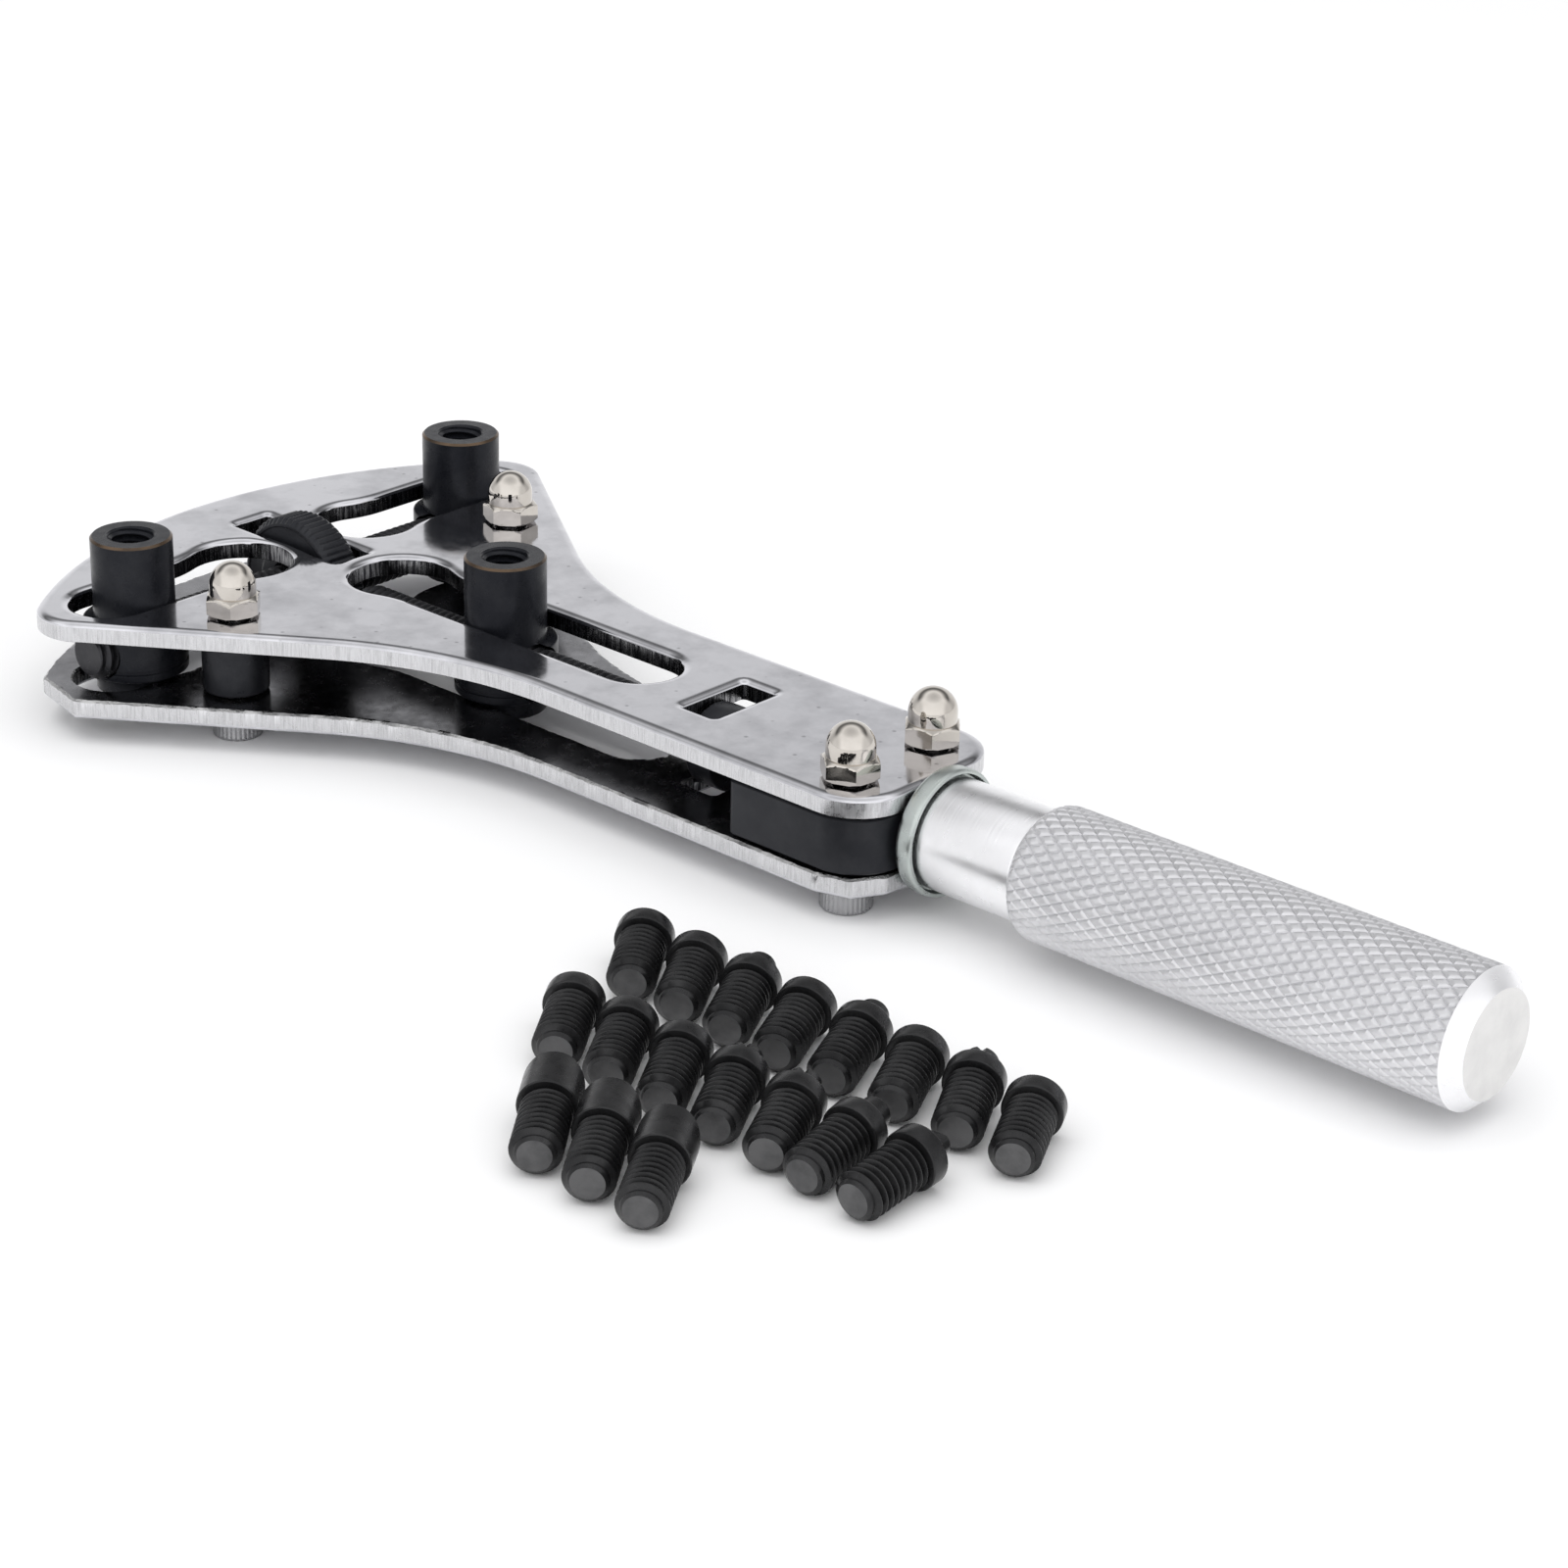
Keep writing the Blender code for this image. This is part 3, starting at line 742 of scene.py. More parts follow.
@dataclass
class Body:
    """The two plates and what holds them apart."""

    thickness: float = 2.2
    space: float = 6.6
    front_x: float = -105.6
    front_r: float = 53.4
    tip_r: float = 5.3
    flank: float = math.radians(35)
    waist_r: float = 45.0
    waist_x: float = -38.0
    half_width: float = 11.2
    end_x: float = 6.0
    slot_half: float = 4.65
    keyhole_r: float = 5.9
    neck_r: float = 12.0            # rounding where a slot opens into its keyhole
    jaw_x: float = -88.6
    side_slot: tuple[float, float] = (27.7, 9.4)           # centres of its round end and its keyhole
    middle_slot: tuple[float, float] = (-35.2, -72.2)
    wheel_window: tuple[float, float, float] = (-89.0, 8.8, 2.55)      # middle, half length, half width
    collar_window: tuple[float, float, float] = (-22.2, 2.35, 4.75)
    window_corner: float = 0.45
    bolts: tuple[tuple[str, float, float], ...] = (("handle", 0.0, 6.26), ("head", -76.3, 20.8))
    bolt_hole_r: float = 1.8
    block_x: tuple[float, float] = (-12.2, 5.7)
    block_half: float = 10.9
    block_corners: tuple[float, float] = (0.8, 5.7)        # towards the head, towards the handle
    spacer_r: float = 3.65
    roll_width: float = 1.0        # how far the pressed edge draws down the top plate's face
    roll_depth: float = 0.5
    step: float = 0.35

    @property
    def top(self) -> float:
        """Height of the top plate's upper face."""
        return 2 * self.thickness + self.space

    @property
    def axis_z(self) -> float:
        """Height of both spindles, midway between the plates."""
        return self.top / 2

    @property
    def between(self) -> tuple[float, float]:
        """Lowest and highest height of what stands between the plates with clearance."""
        return self.thickness + GAP, self.thickness + self.space - GAP

    def waist(self) -> np.ndarray:
        """The hollow flank, a circle's arc from the wing's slope to the straight part."""
        return arc(self.waist_x, self.half_width + self.waist_r, self.waist_r,
                   3 * QUARTER - self.flank, 3 * QUARTER, 50)

    def round_outline(self) -> np.ndarray:
        """The top plate's outline: bowed front, round wing tips, hollow flanks, round end corners.

        The tip's circle touches the front's from inside, and the flank's straight line.

        Returns:
            Its points, anticlockwise.
        """
        centre = self.front_x + self.front_r
        reach = self.front_r - self.tip_r
        across = np.array([math.sin(self.flank), math.cos(self.flank)])
        offset = (self.waist()[0] - (centre, 0)) @ across - self.tip_r
        along = math.sqrt(reach ** 2 - offset ** 2)
        tip = np.array([centre, 0]) + across * offset + np.array([-across[1], across[0]]) * along
        angle = math.atan2(tip[1], tip[0] - centre)
        corner = arc(0.0, self.half_width - self.end_x, self.end_x, QUARTER, 0, 14)
        return mirrored(np.concatenate([arc(centre, 0, self.front_r, math.pi, angle, 70),
                                        arc(*tip, self.tip_r, angle, QUARTER - self.flank, 16)[1:],
                                        self.waist(), corner]))

    def clipped_outline(self) -> np.ndarray:
        """The bottom plate's outline, whose corners are sheared straight.

        Returns:
            Its points, anticlockwise.
        """
        centre = self.front_x + self.front_r
        corner = np.array([(-0.2, self.half_width), (3.8, 9.9), (5.6, 6.6), (self.end_x, 3.2)])
        return mirrored(np.concatenate([arc(centre, 0, self.front_r, math.pi, math.radians(141), 60),
                                        [(-86.2, 35.4)], self.waist(), corner]))

    def keyhole(self, end: float, hole: float) -> np.ndarray:
        """A slot along X with one round end, and at the other a larger hole that it opens into by two arcs.

        Args:
            end: the round end's centre.
            hole: the larger hole's centre.

        Returns:
            Its points, clockwise.
        """
        f, half, r = self.neck_r, self.slot_half, self.keyhole_r
        neck = hole + math.sqrt((r + f) ** 2 - (half + f) ** 2)
        mouth = math.atan2(half + f, neck - hole)
        return np.concatenate([arc(end, 0, half, QUARTER, -QUARTER, 20),
                               arc(neck, -half - f, f, QUARTER, math.pi - mouth, 5),
                               arc(hole, 0, r, -mouth, mouth - TAU, 44)[1:-1],
                               arc(neck, half + f, f, mouth - math.pi, -QUARTER, 5)])

    def window(self, centre: float, half_length: float, half_width: float) -> np.ndarray:
        """A rectangular window with tight corners.

        Args:
            centre: its middle, along X.
            half_length: half its size along X.
            half_width: half its size along Y.

        Returns:
            Its points, clockwise.
        """
        r = self.window_corner
        x, y = half_length - r, half_width - r
        return np.concatenate([arc(centre + sx * x, sy * y, r, a, a - QUARTER, 4) for sx, sy, a in
                               ((-1, 1, 2 * QUARTER), (1, 1, QUARTER), (1, -1, 0.0), (-1, -1, -QUARTER))])

    def loops(self, clipped: bool = False) -> list[np.ndarray]:
        """A plate's outline, then its slots and windows, then its four bolt holes.

        Args:
            clipped: whether it is the bottom plate.

        Returns:
            Closed loops, evenly stepped.
        """
        outline = self.clipped_outline() if clipped else self.round_outline()
        side_slot = self.keyhole(*self.side_slot)
        upper = np.column_stack([self.jaw_x + side_slot[:, 1], side_slot[:, 0]])[::-1]
        found = [outline, self.keyhole(*self.middle_slot), upper, (upper * (1, -1))[::-1],
                 self.window(*self.wheel_window), self.window(*self.collar_window)]
        found += [self.bolt_hole(x, y) for _, _, x, y in self.bolt_places()]
        return [stepped(loop, self.step) for loop in found]

    def bolt_hole(self, x: float, y: float) -> np.ndarray:
        """A bolt's hole, clockwise, with its centre at x, y."""
        return arc(x, y, self.bolt_hole_r, TAU, TAU / 24, 23)

    def bolt_places(self) -> Iterator[tuple[str, str, float, float]]:
        """Each bolt's end of the tool, side, x and y."""
        for where, x, y in self.bolts:
            yield from ((where, "left", x, -y), (where, "right", x, y))

    def room(self, number: int, loop: np.ndarray, loops: list[np.ndarray]) -> np.ndarray:
        """How much of an edge's full width fits: less than half the way to the nearest other edge.

        Args:
            number: the loop's place among them.
            loop: its points.
            loops: all of the plate's loops.

        Returns:
            A share for each point, at most 1.
        """
        others = np.concatenate([other for i, other in enumerate(loops) if i != number])
        reach = np.linalg.norm(loop[:, None] - others[None], axis=2).min(1)
        return np.minimum(0.44 * reach, 1.0)

    def pressed_edge(self, number: int, loop: np.ndarray) -> list[EdgeRow]:
        """The top plate's edge: a quarter ellipse rolls the upper face over; the lower edge is nearly sharp.

        Inset = width * (1 - cos a), height = top - depth * (1 - sin a), a from 0 at the wall to 90 degrees.

        Args:
            number: the loop's place: 0 the outline, up to 5 a slot or window, then bolt holes.
            loop: its points.

        Returns:
            The edge's rows.
        """
        size = self.room(number, loop, self.loops()) * (1.0 if number <= 5 else 0.25)
        width, depth = self.roll_width * size, self.roll_depth * size
        # Slot 3, on the holes' walls, is darkened as painted shade.
        low, high, nick, wall = self.top - self.thickness, self.top, 0.08, 3 if number else 1
        rows = [EdgeRow(nick, low, wall), EdgeRow(0.0, low + nick, wall)]
        rows += [EdgeRow(width * (1 - math.cos(a)), high - depth * (1 - math.sin(a)), 0)
                 for a in np.linspace(0, QUARTER, 11)]
        return rows + [EdgeRow(width + 0.04 * size, high, 0)]

    def sheared_edge(self, number: int, loop: np.ndarray) -> list[EdgeRow]:
        """The bottom plate's edge: rolled below, torn above, where a smoothed random line frays it.

        Args:
            number: the loop's place, as in pressed_edge.
            loop: its points.

        Returns:
            The edge's rows.
        """
        random = np.random.default_rng(31 + number)
        blur, count = np.array([0.25, 0.5, 0.25]), len(loop)
        tear, notch = (np.convolve(np.tile(random.random(count), 3), blur, "same")[count:-count]
                       for _ in range(2))
        size = self.room(number, loop, self.loops(clipped=True)) * (1.0 if number else 1.6)
        width = np.minimum(size, 1.0)
        # Slot 3, on the holes' walls, is darkened as painted shade.
        high, wall = self.thickness, 3 if number else 1
        return [EdgeRow(0.45 * width, 0.0, 4), EdgeRow(0.2 * width, 0.06, 4), EdgeRow(0.05 * width, 0.2, 4),
                EdgeRow(0.0, 0.42, wall), EdgeRow(0.0, high - 0.12 - 0.14 * size * notch, 2),
                EdgeRow(0.05 + 0.12 * size * tear, high - 0.05 - 0.06 * size * notch, 2),
                EdgeRow(0.12 + 0.24 * size * tear * notch ** 0.5, high, 0),
                EdgeRow(0.04 + 0.55 * width, high, 0)]

    def plates(self) -> None:
        """Both plates."""
        # Slot 2, the top plate's underside, is darkened as painted shade.
        place_piece(Slab(self.loops(), self.pressed_edge, under=2), "top_plate",
                    [Finishes.plate, Finishes.wall, Finishes.inside, Finishes.cut])
        # Slot 0, the bottom plate's upper face, is darkened as painted shade; slot 4, its underside and
        # rolled edge, is plain polished plate.
        place_piece(Slab(self.loops(clipped=True), self.sheared_edge, under=4),
                    "bottom_plate",
                    [Finishes.inner, Finishes.wall, Finishes.torn, Finishes.cut, Finishes.plate])

    def block(self) -> None:
        """The end block, with upright round corners, bored for the spindle."""
        (front, back), half, (small, large) = self.block_x, self.block_half, self.block_corners
        outline = mirrored(np.concatenate([arc(front + small, half - small, small, math.pi, QUARTER, 5),
                                           arc(back - large, half - large, large, QUARTER, 0, 16)]))
        holes = [self.bolt_hole(x, y) for where, _, x, y in self.bolt_places() if where == "handle"]
        slab = Slab([outline] + holes, chamfered(*self.between, 0.2))
        piece = place_piece(slab, "end_block", [Finishes.block])
        bored(piece, JOURNAL_R + GAP, (front - 1, back + 1), 40, Axis.X, (0, 0, self.axis_z))

    def spacers(self) -> None:
        """The two round spacers on the head bolts."""
        profile = ring(self.bolt_hole_r, self.spacer_r, *self.between, 0.25)
        for where, side, x, y in self.bolt_places():
            if where == "head":
                place_piece(Shell().spin(profile, 56), f"head_spacer_{side}", [Finishes.black],
                            at=(x, y, 0))

    def build(self) -> None:
        """Every piece of the body."""
        self.plates()
        self.block()
        self.spacers()


@dataclass
class Fasteners:
    """Cap nuts above and socket-head screws below."""

    body: Body
    across_flats: float = 5.5
    hex_height: float = 2.4
    dome_r: float = 2.54
    dome_z: float = 3.46
    head_r: float = 2.75
    head_height: float = 3.0
    socket_flats: float = 2.5
    flute_depth: float = 0.07
    shank_r: float = 1.5
    grip: float = 3.0
    turns: tuple[float, ...] = (22, 10, 14, 38)    # how far each nut happens to be screwed round, in degrees

    @staticmethod
    def hexagon(angle: np.ndarray, across_flats: float) -> np.ndarray:
        """Radius of a hexagon: half its width over the cosine of the angle from the nearest flat's middle."""
        sector = TAU / 6
        return across_flats / 2 / np.cos((angle % sector) - sector / 2)

    def nut_shape(self, angle: np.ndarray, height: np.ndarray, radius: np.ndarray) -> np.ndarray:
        """The nut's side: a hexagon cut by a cone above and below, with the plain radius elsewhere.

        Args:
            angle: round the axis.
            height: above the plate.
            radius: the plain profile's.

        Returns:
            The radius.
        """
        cone = np.minimum(2.56 + (self.hex_height - height) * 1.5, 2.9 + (height - GAP) * 1.6)
        side = np.minimum(self.hexagon(angle, self.across_flats), cone)
        return np.where(radius > self.dome_r + 0.01, side, radius)

    def nut(self) -> Shell:
        """A cap nut: hexagon, short neck and half-round dome over a blind hole.

        Returns:
            The shell, its Z measured from the plate's face.
        """
        hole, foot, top = self.body.bolt_hole_r, GAP, self.hex_height
        side = [(3.2, z) for z in np.concatenate([np.linspace(foot, 0.75, 7), np.linspace(0.95, top, 16)])]
        a = np.linspace(0, QUARTER, 18)
        dome = np.column_stack([self.dome_r * np.cos(a), self.dome_z + self.dome_r * np.sin(a)])
        inside = [(0, self.grip + foot), (hole, self.grip + foot), (hole, foot), (2.5, foot)]
        profile = np.concatenate([inside, side, [(2.52, top), (self.dome_r, top + 0.08)], dome])
        return Shell().spin(profile, 96, shape=self.nut_shape)

    def screw_shape(self, angle: np.ndarray, height: np.ndarray, radius: np.ndarray) -> np.ndarray:
        """The head's side is finely fluted, and its socket is a hexagon.

        Args:
            angle: round the axis.
            height: above the underside of the bottom plate.
            radius: the plain profile's.

        Returns:
            The radius.
        """
        flutes = self.flute_depth * (0.5 + 0.5 * np.cos(32 * angle))
        inside_head = (height > 0.35 - self.head_height) & (height < -0.25)
        side = np.where((radius > self.head_r - 0.01) & inside_head, radius - flutes, radius)
        socket = (radius > 1.3) & (radius < 1.4)
        return np.where(socket, self.hexagon(angle, self.socket_flats), side)

    def screw(self) -> Shell:
        """A socket-head screw, from the socket's floor out and up its shank.

        Returns:
            The shell, its Z measured from the underside of the bottom plate.
        """
        low, high, side, shank = -self.head_height, self.body.top + self.grip, self.head_r, self.shank_r
        floor, socket = low + 1.4, 1.35
        corners = [(0, floor), (socket, floor), (socket, low), (side, low, 0.3), (side, low + 0.32),
                   (side, low + 0.36), (side, -0.3), (side, -0.2), (side, 0.0, 0.15), (shank, 0.0),
                   (shank, high - 0.3), (shank - 0.3, high), (0, high)]
        return Shell().spin(eased(corners, 4), 192, shape=self.screw_shape)

    def build(self) -> None:
        """All four bolts."""
        for angle, (where, side, x, y) in zip(self.turns, self.body.bolt_places()):
            place_piece(self.nut(), f"{where}_nut_{side}", [Finishes.nickel],
                        at=(x, y, self.body.top), turn=Matrix.Rotation(math.radians(angle), 3, "Z"))
            place_piece(self.screw(), f"{where}_screw_{side}", [Finishes.screw], at=(x, y, 0))


# ---------------------------------------------------------------- jaws and drives


@dataclass
class Jaw:
    """A jaw: post with a threaded hole, flange between the plates, stub below."""

    node: str
    x: float
    y: float
    rod: Axis
    body: Body
    post_r: float = 4.5
    post_top: float = 17.84
    flange_r: float = 5.7
    hole_r: float = 2.5
    mouth_r: float = 2.7
    hole_depth: float = 8.2
    bore_r: float = 3.15
    rim: float = 0.25

    def outside(self) -> np.ndarray:
        """The post, with a turned groove in its flange.

        Returns:
            Profile from the stub's middle up to the rim.
        """
        (low, high), r, flange = self.body.between, self.post_r, self.flange_r
        return eased([(0, 0.3), (r, 0.3, 0.3), (r, low), (flange, low, 0.25), (flange, low + 0.9),
                      (flange - 0.16, low + 1.0), (flange - 0.16, low + 1.25), (flange, low + 1.35),
                      (flange, high, 0.3), (r, high), (r, self.post_top - self.rim)], 3)

    def build(self) -> None:
        """Turn the jaw, thread its hole and bore it for its rod."""
        thread = Thread(self.hole_r, 2.1, BIT_PITCH, sides=64)
        floor, mouth, sides = self.post_top - self.hole_depth, self.post_top, thread.sides
        heights = [floor, floor + 0.1, floor + 0.6, mouth - 0.55, mouth]
        limits = [self.hole_r, self.hole_r, 2.0, 2.0, self.mouth_r]
        hole = thread.sheet(floor, mouth, lambda z: np.interp(z, heights, limits), inside=True)
        inner = (self.post_r - self.rim, mouth)
        shell = Shell().spin(self.outside(), sides).spin([(self.post_r, mouth - self.rim), inner], sides, 1)
        shell.spin([inner, (self.mouth_r, mouth)], sides).sheet(hole[::-1])
        shell.spin([(self.hole_r, floor), (0, floor - 0.4)], sides)
        piece = place_piece(shell, self.node, [Finishes.jaw(self.x, self.y), Finishes.worn],
                            at=(self.x, self.y, 0))
        half = self.flange_r + 1
        bored(piece, self.bore_r, (-half, half), sides, self.rod, (self.x, self.y, self.body.axis_z))


@dataclass
class HeadDrive:
    """The spindle across the head, threaded both ways, and its thumb wheel."""

    body: Body
    half_length: float = 31.3
    plain_half: float = 3.2
    wheel_r: float = 8.2
    wheel_half: float = 2.2
    wheel_bore: float = 3.0
    flutes: int = 60
    flute_depth: float = 0.24

    def spindle(self) -> None:
        """Right-hand thread over +Y, left-hand over -Y, plain in the middle."""
        shell = Shell()
        half, neck = self.plain_half, ROD_NECK
        for hand in (1, -1):
            low, high = sorted((hand * half, hand * self.half_length))
            thread = Thread(ROD_ROOT, ROD_CREST, ROD_PITCH, hand)
            shell.sheet(thread.sheet(low, high, ends_tapered(low, high, ROD_CREST, neck, 0.6)))
            shell.spin([(neck, hand * self.half_length), (0, hand * self.half_length)][::hand], thread.sides)
        shell.spin([(neck, -half), (ROD_CREST, -half), (ROD_CREST, half), (neck, half)], 48)
        self.place(shell, "head_spindle", "rod_steel", Finishes.rod)

    def wheel_shape(self, angle: np.ndarray, height: np.ndarray, radius: np.ndarray) -> np.ndarray:
        """Rim flutes: the radius dips by depth * (1 - |sin|) ** 0.8 between teeth, less on the bevels.

        Args:
            angle: round the axis.
            height: along it; not used.
            radius: the plain profile's.

        Returns:
            The radius.
        """
        dip = self.flute_depth * (1 - np.abs(np.sin(self.flutes / 2 * angle))) ** 0.8
        share = np.clip((radius - (self.wheel_r - 0.75)) / 0.5, 0, 1)
        return radius - dip * share

    def wheel(self) -> None:
        """The fluted thumb wheel, dished a little on both sides."""
        r, half, bore = self.wheel_r, self.wheel_half, self.wheel_bore
        lower = [(bore, 0.3 - half), (bore + 0.3, -half), (4.9, -half, 0.1), (5.1, 0.12 - half, 0.1),
                 (7.1, 0.12 - half, 0.1), (7.25, -half), (r - 0.6, -half, 0.1), (r, 0.6 - half, 0.12)]
        upper = [(corner[0], -corner[1], *corner[2:]) for corner in lower[::-1]]
        profile = eased(lower + [(r, 0)] + upper + lower[:1], 2)
        shell = Shell().spin(profile, self.flutes * 8, shape=self.wheel_shape)
        self.place(shell, "head_wheel", "black_steel", Finishes.black)

    def place(self, shell: Shell, node: str, slot: str, finish: MetalFinish) -> None:
        """Put a piece on the spindle's axis.

        Args:
            shell: the piece's surface, along its own Z.
            node: the CAD node.
            slot: the record's material slot; not used.
            finish: its finish.
        """
        place_piece(shell, node, [finish], Axis.Y, (self.body.jaw_x, 0, self.body.axis_z))

    def build(self) -> None:
        """Spindle and wheel."""
        self.spindle()
        self.wheel()


@dataclass
class HandleDrive:
    """The spindle along the body, its collar and washer, and the handle that turns it."""

    body: Body
    start_x: float = -78.0
    shoulder_x: float = -24.5
    end_x: float = 23.4
    collar_r: float = 4.5
    collar_x: tuple[float, float] = (-24.2, -20.8)
    washer_r: float = 6.75
    washer_x: tuple[float, float] = (6.3, 8.4)
    cup_r: float = 6.2
    cup_x: float = 7.4
    neck_r: float = 5.9
    neck_start: float = 7.7
    neck_end: float = 20.2
    grip_r: float = 7.0
    grip_end: float = 70.3
    handle_end: float = 71.9
    face_r: float = 5.4
    undercut: float = 0.12         # of the groove between neck and grip
    dish: float = 0.03             # how hollow the end face is
    diamonds: int = 33             # round the grip
    diamond_length: float = 2.27   # along it
    twist: int = 5                 # diamonds' lengths that the pattern shifts in a turn
    groove_share: float = 0.2      # half a groove's width, in diamonds
    cells: int = 5                 # grid cells in half a diamond
    groove_depth: float = 0.2

    def spindle(self) -> None:
        """Threaded as far as the shoulder, then turned down to a journal."""
        thread = Thread(ROD_ROOT, ROD_CREST, ROD_PITCH)
        low, high, end, neck = self.start_x, self.shoulder_x, self.end_x, ROD_NECK
        journal = eased([(neck, high), (JOURNAL_R, high), (JOURNAL_R, end, 0.3), (0, end)], 3)
        shell = Shell()
        shell.sheet(thread.sheet(low, high, ends_tapered(low, high, ROD_CREST, neck, 0.6)))
        shell.spin([(0, low), (neck, low)], thread.sides).spin(journal, thread.sides)
        self.place(shell, "handle_spindle", "rod_steel", Finishes.rod)

    def collar(self) -> None:
        """The disc in the small window."""
        profile = ring(JOURNAL_R + GAP, self.collar_r, *self.collar_x, 0.3)
        self.place(Shell().spin(profile, 96), "spindle_collar", "black_steel", Finishes.black)

    def washer(self) -> None:
        """The cupped washer between the body and the handle's neck."""
        bore, r, cup, floor = JOURNAL_R + GAP, self.washer_r, self.cup_r, self.cup_x
        back, lip = self.washer_x
        profile = eased([(bore, back), (r, back, 0.7), (r, lip, 0.45), (cup + 0.05, lip, 0.12),
                         (cup, floor, 0.2), (bore, floor), (bore, back)], 6)
        self.place(Shell().spin(profile, 128), "thrust_washer", "zinc_washer", Finishes.zinc)

    def place(self, shell: Shell, node: str, slot: str, *finishes: MetalFinish) -> None:
        """Put a piece on the spindle's axis.

        Args:
            shell: the piece's surface, along its own Z.
            node: the CAD node.
            slot: the record's material slot; not used.
            finishes: one for each of the shell's slots.
        """
        place_piece(shell, node, list(finishes), Axis.X, (0, 0, self.body.axis_z))

    def knurl(self) -> tuple[np.ndarray, np.ndarray]:
        """The diamond knurl, on a grid whose points fall on the grooves and on the diamonds' middles.

        With p the angle in diamonds and q the length in diamonds plus the twist per turn, grooves run where
        p + q or p - q is whole. Rows keep q, so they wind round the grip; past its ends they lie on the end.
        A point's height rises from 0 in a groove to 1 on the pads with its distance from the nearest groove.

        Returns:
            The points and their heights.
        """
        start, end, length = self.neck_end + 0.1, self.grip_end, self.diamond_length
        fine = 2 * self.cells
        p = np.arange(fine * self.diamonds + 1)[None, :] / fine
        wind = self.twist * p / self.diamonds
        first, last = math.floor(start / length) * fine, (math.ceil(end / length) + self.twist) * fine
        x = np.clip((np.arange(first, last + 1)[:, None] / fine - wind) * length, start, end)
        q = x / length + wind
        nearest = np.minimum(np.abs(p + q - np.round(p + q)), np.abs(p - q - np.round(p - q)))
        height = 1 - (1 - np.clip(nearest / self.groove_share, 0, 1)) ** 1.3
        reach = np.clip((x - start) / 1.5, 0, 1)
        foot = self.neck_r + self.undercut
        envelope = foot + (self.grip_r - foot) * np.sqrt(1 - (1 - reach) ** 2)
        ends = np.clip((x - start) / 0.35, 0, 1) * np.clip((end - x) / 0.25, 0, 1)
        radius = envelope - self.groove_depth * ends * (1 - height)
        angle = TAU * p / self.diamonds
        return np.stack([radius * np.cos(angle), radius * np.sin(angle), x], axis=-1), height

    def handle(self) -> None:
        """Blind bore, turned neck, rounded start of the knurl, grip, bevel and faced end."""
        sides = 2 * self.diamonds * self.cells
        bore, deep, r, end, face = JOURNAL_R + GAP, self.end_x + GAP, self.neck_r, self.neck_end, self.face_r
        groove, shoulder, start = r - self.undercut, r + self.undercut, self.neck_start
        neck = eased([(0, deep), (bore, deep), (bore, start), (r, start, 0.3), (r, end - 0.25, 0.1),
                      (groove, end - 0.15), (groove, end + 0.1), (shoulder, end + 0.1)], 4)
        bevel = [(self.grip_r, self.grip_end), (self.grip_r - 0.12, self.grip_end + 0.05),
                 (face + 0.1, self.handle_end - 0.08), (face, self.handle_end)]
        reach = np.linspace(face, 0, 12)
        dished = np.column_stack([reach, self.handle_end - self.dish * (1 - (reach / face) ** 2)])
        shell = Shell().spin(neck, sides)
        shell.valley_sheet(*self.knurl(), 1)
        shell.spin(bevel, sides).spin(dished, sides, 2)
        self.place(shell, "handle", "turned_aluminium", Finishes.neck, Finishes.grip, Finishes.end_face)

    def build(self) -> None:
        """Everything that turns with the handle."""
        self.spindle()
        self.collar()
        self.washer()
        self.handle()


# ---------------------------------------------------------------- bits


class Tip(Enum):
    """The ends that a bit can have, as (radius, length) in millimetres."""

    SMALL_PIN = (0.75, 1.7)
    MEDIUM_PIN = (1.0, 1.9)
    FLAT_PIN = (1.25, 2.4)
    LARGE_PIN = (1.55, 2.6)
    SLOTTED = (1.7, 2.4)
    WEDGE = (2.9, 3.0)


KINDS = {"pin_bit_small": Tip.SMALL_PIN, "pin_bit_medium": Tip.MEDIUM_PIN, "flat_pin_bit": Tip.FLAT_PIN,
         "pin_bit_large": Tip.LARGE_PIN, "slotted_bit": Tip.SLOTTED, "wedge_bit": Tip.WEDGE}


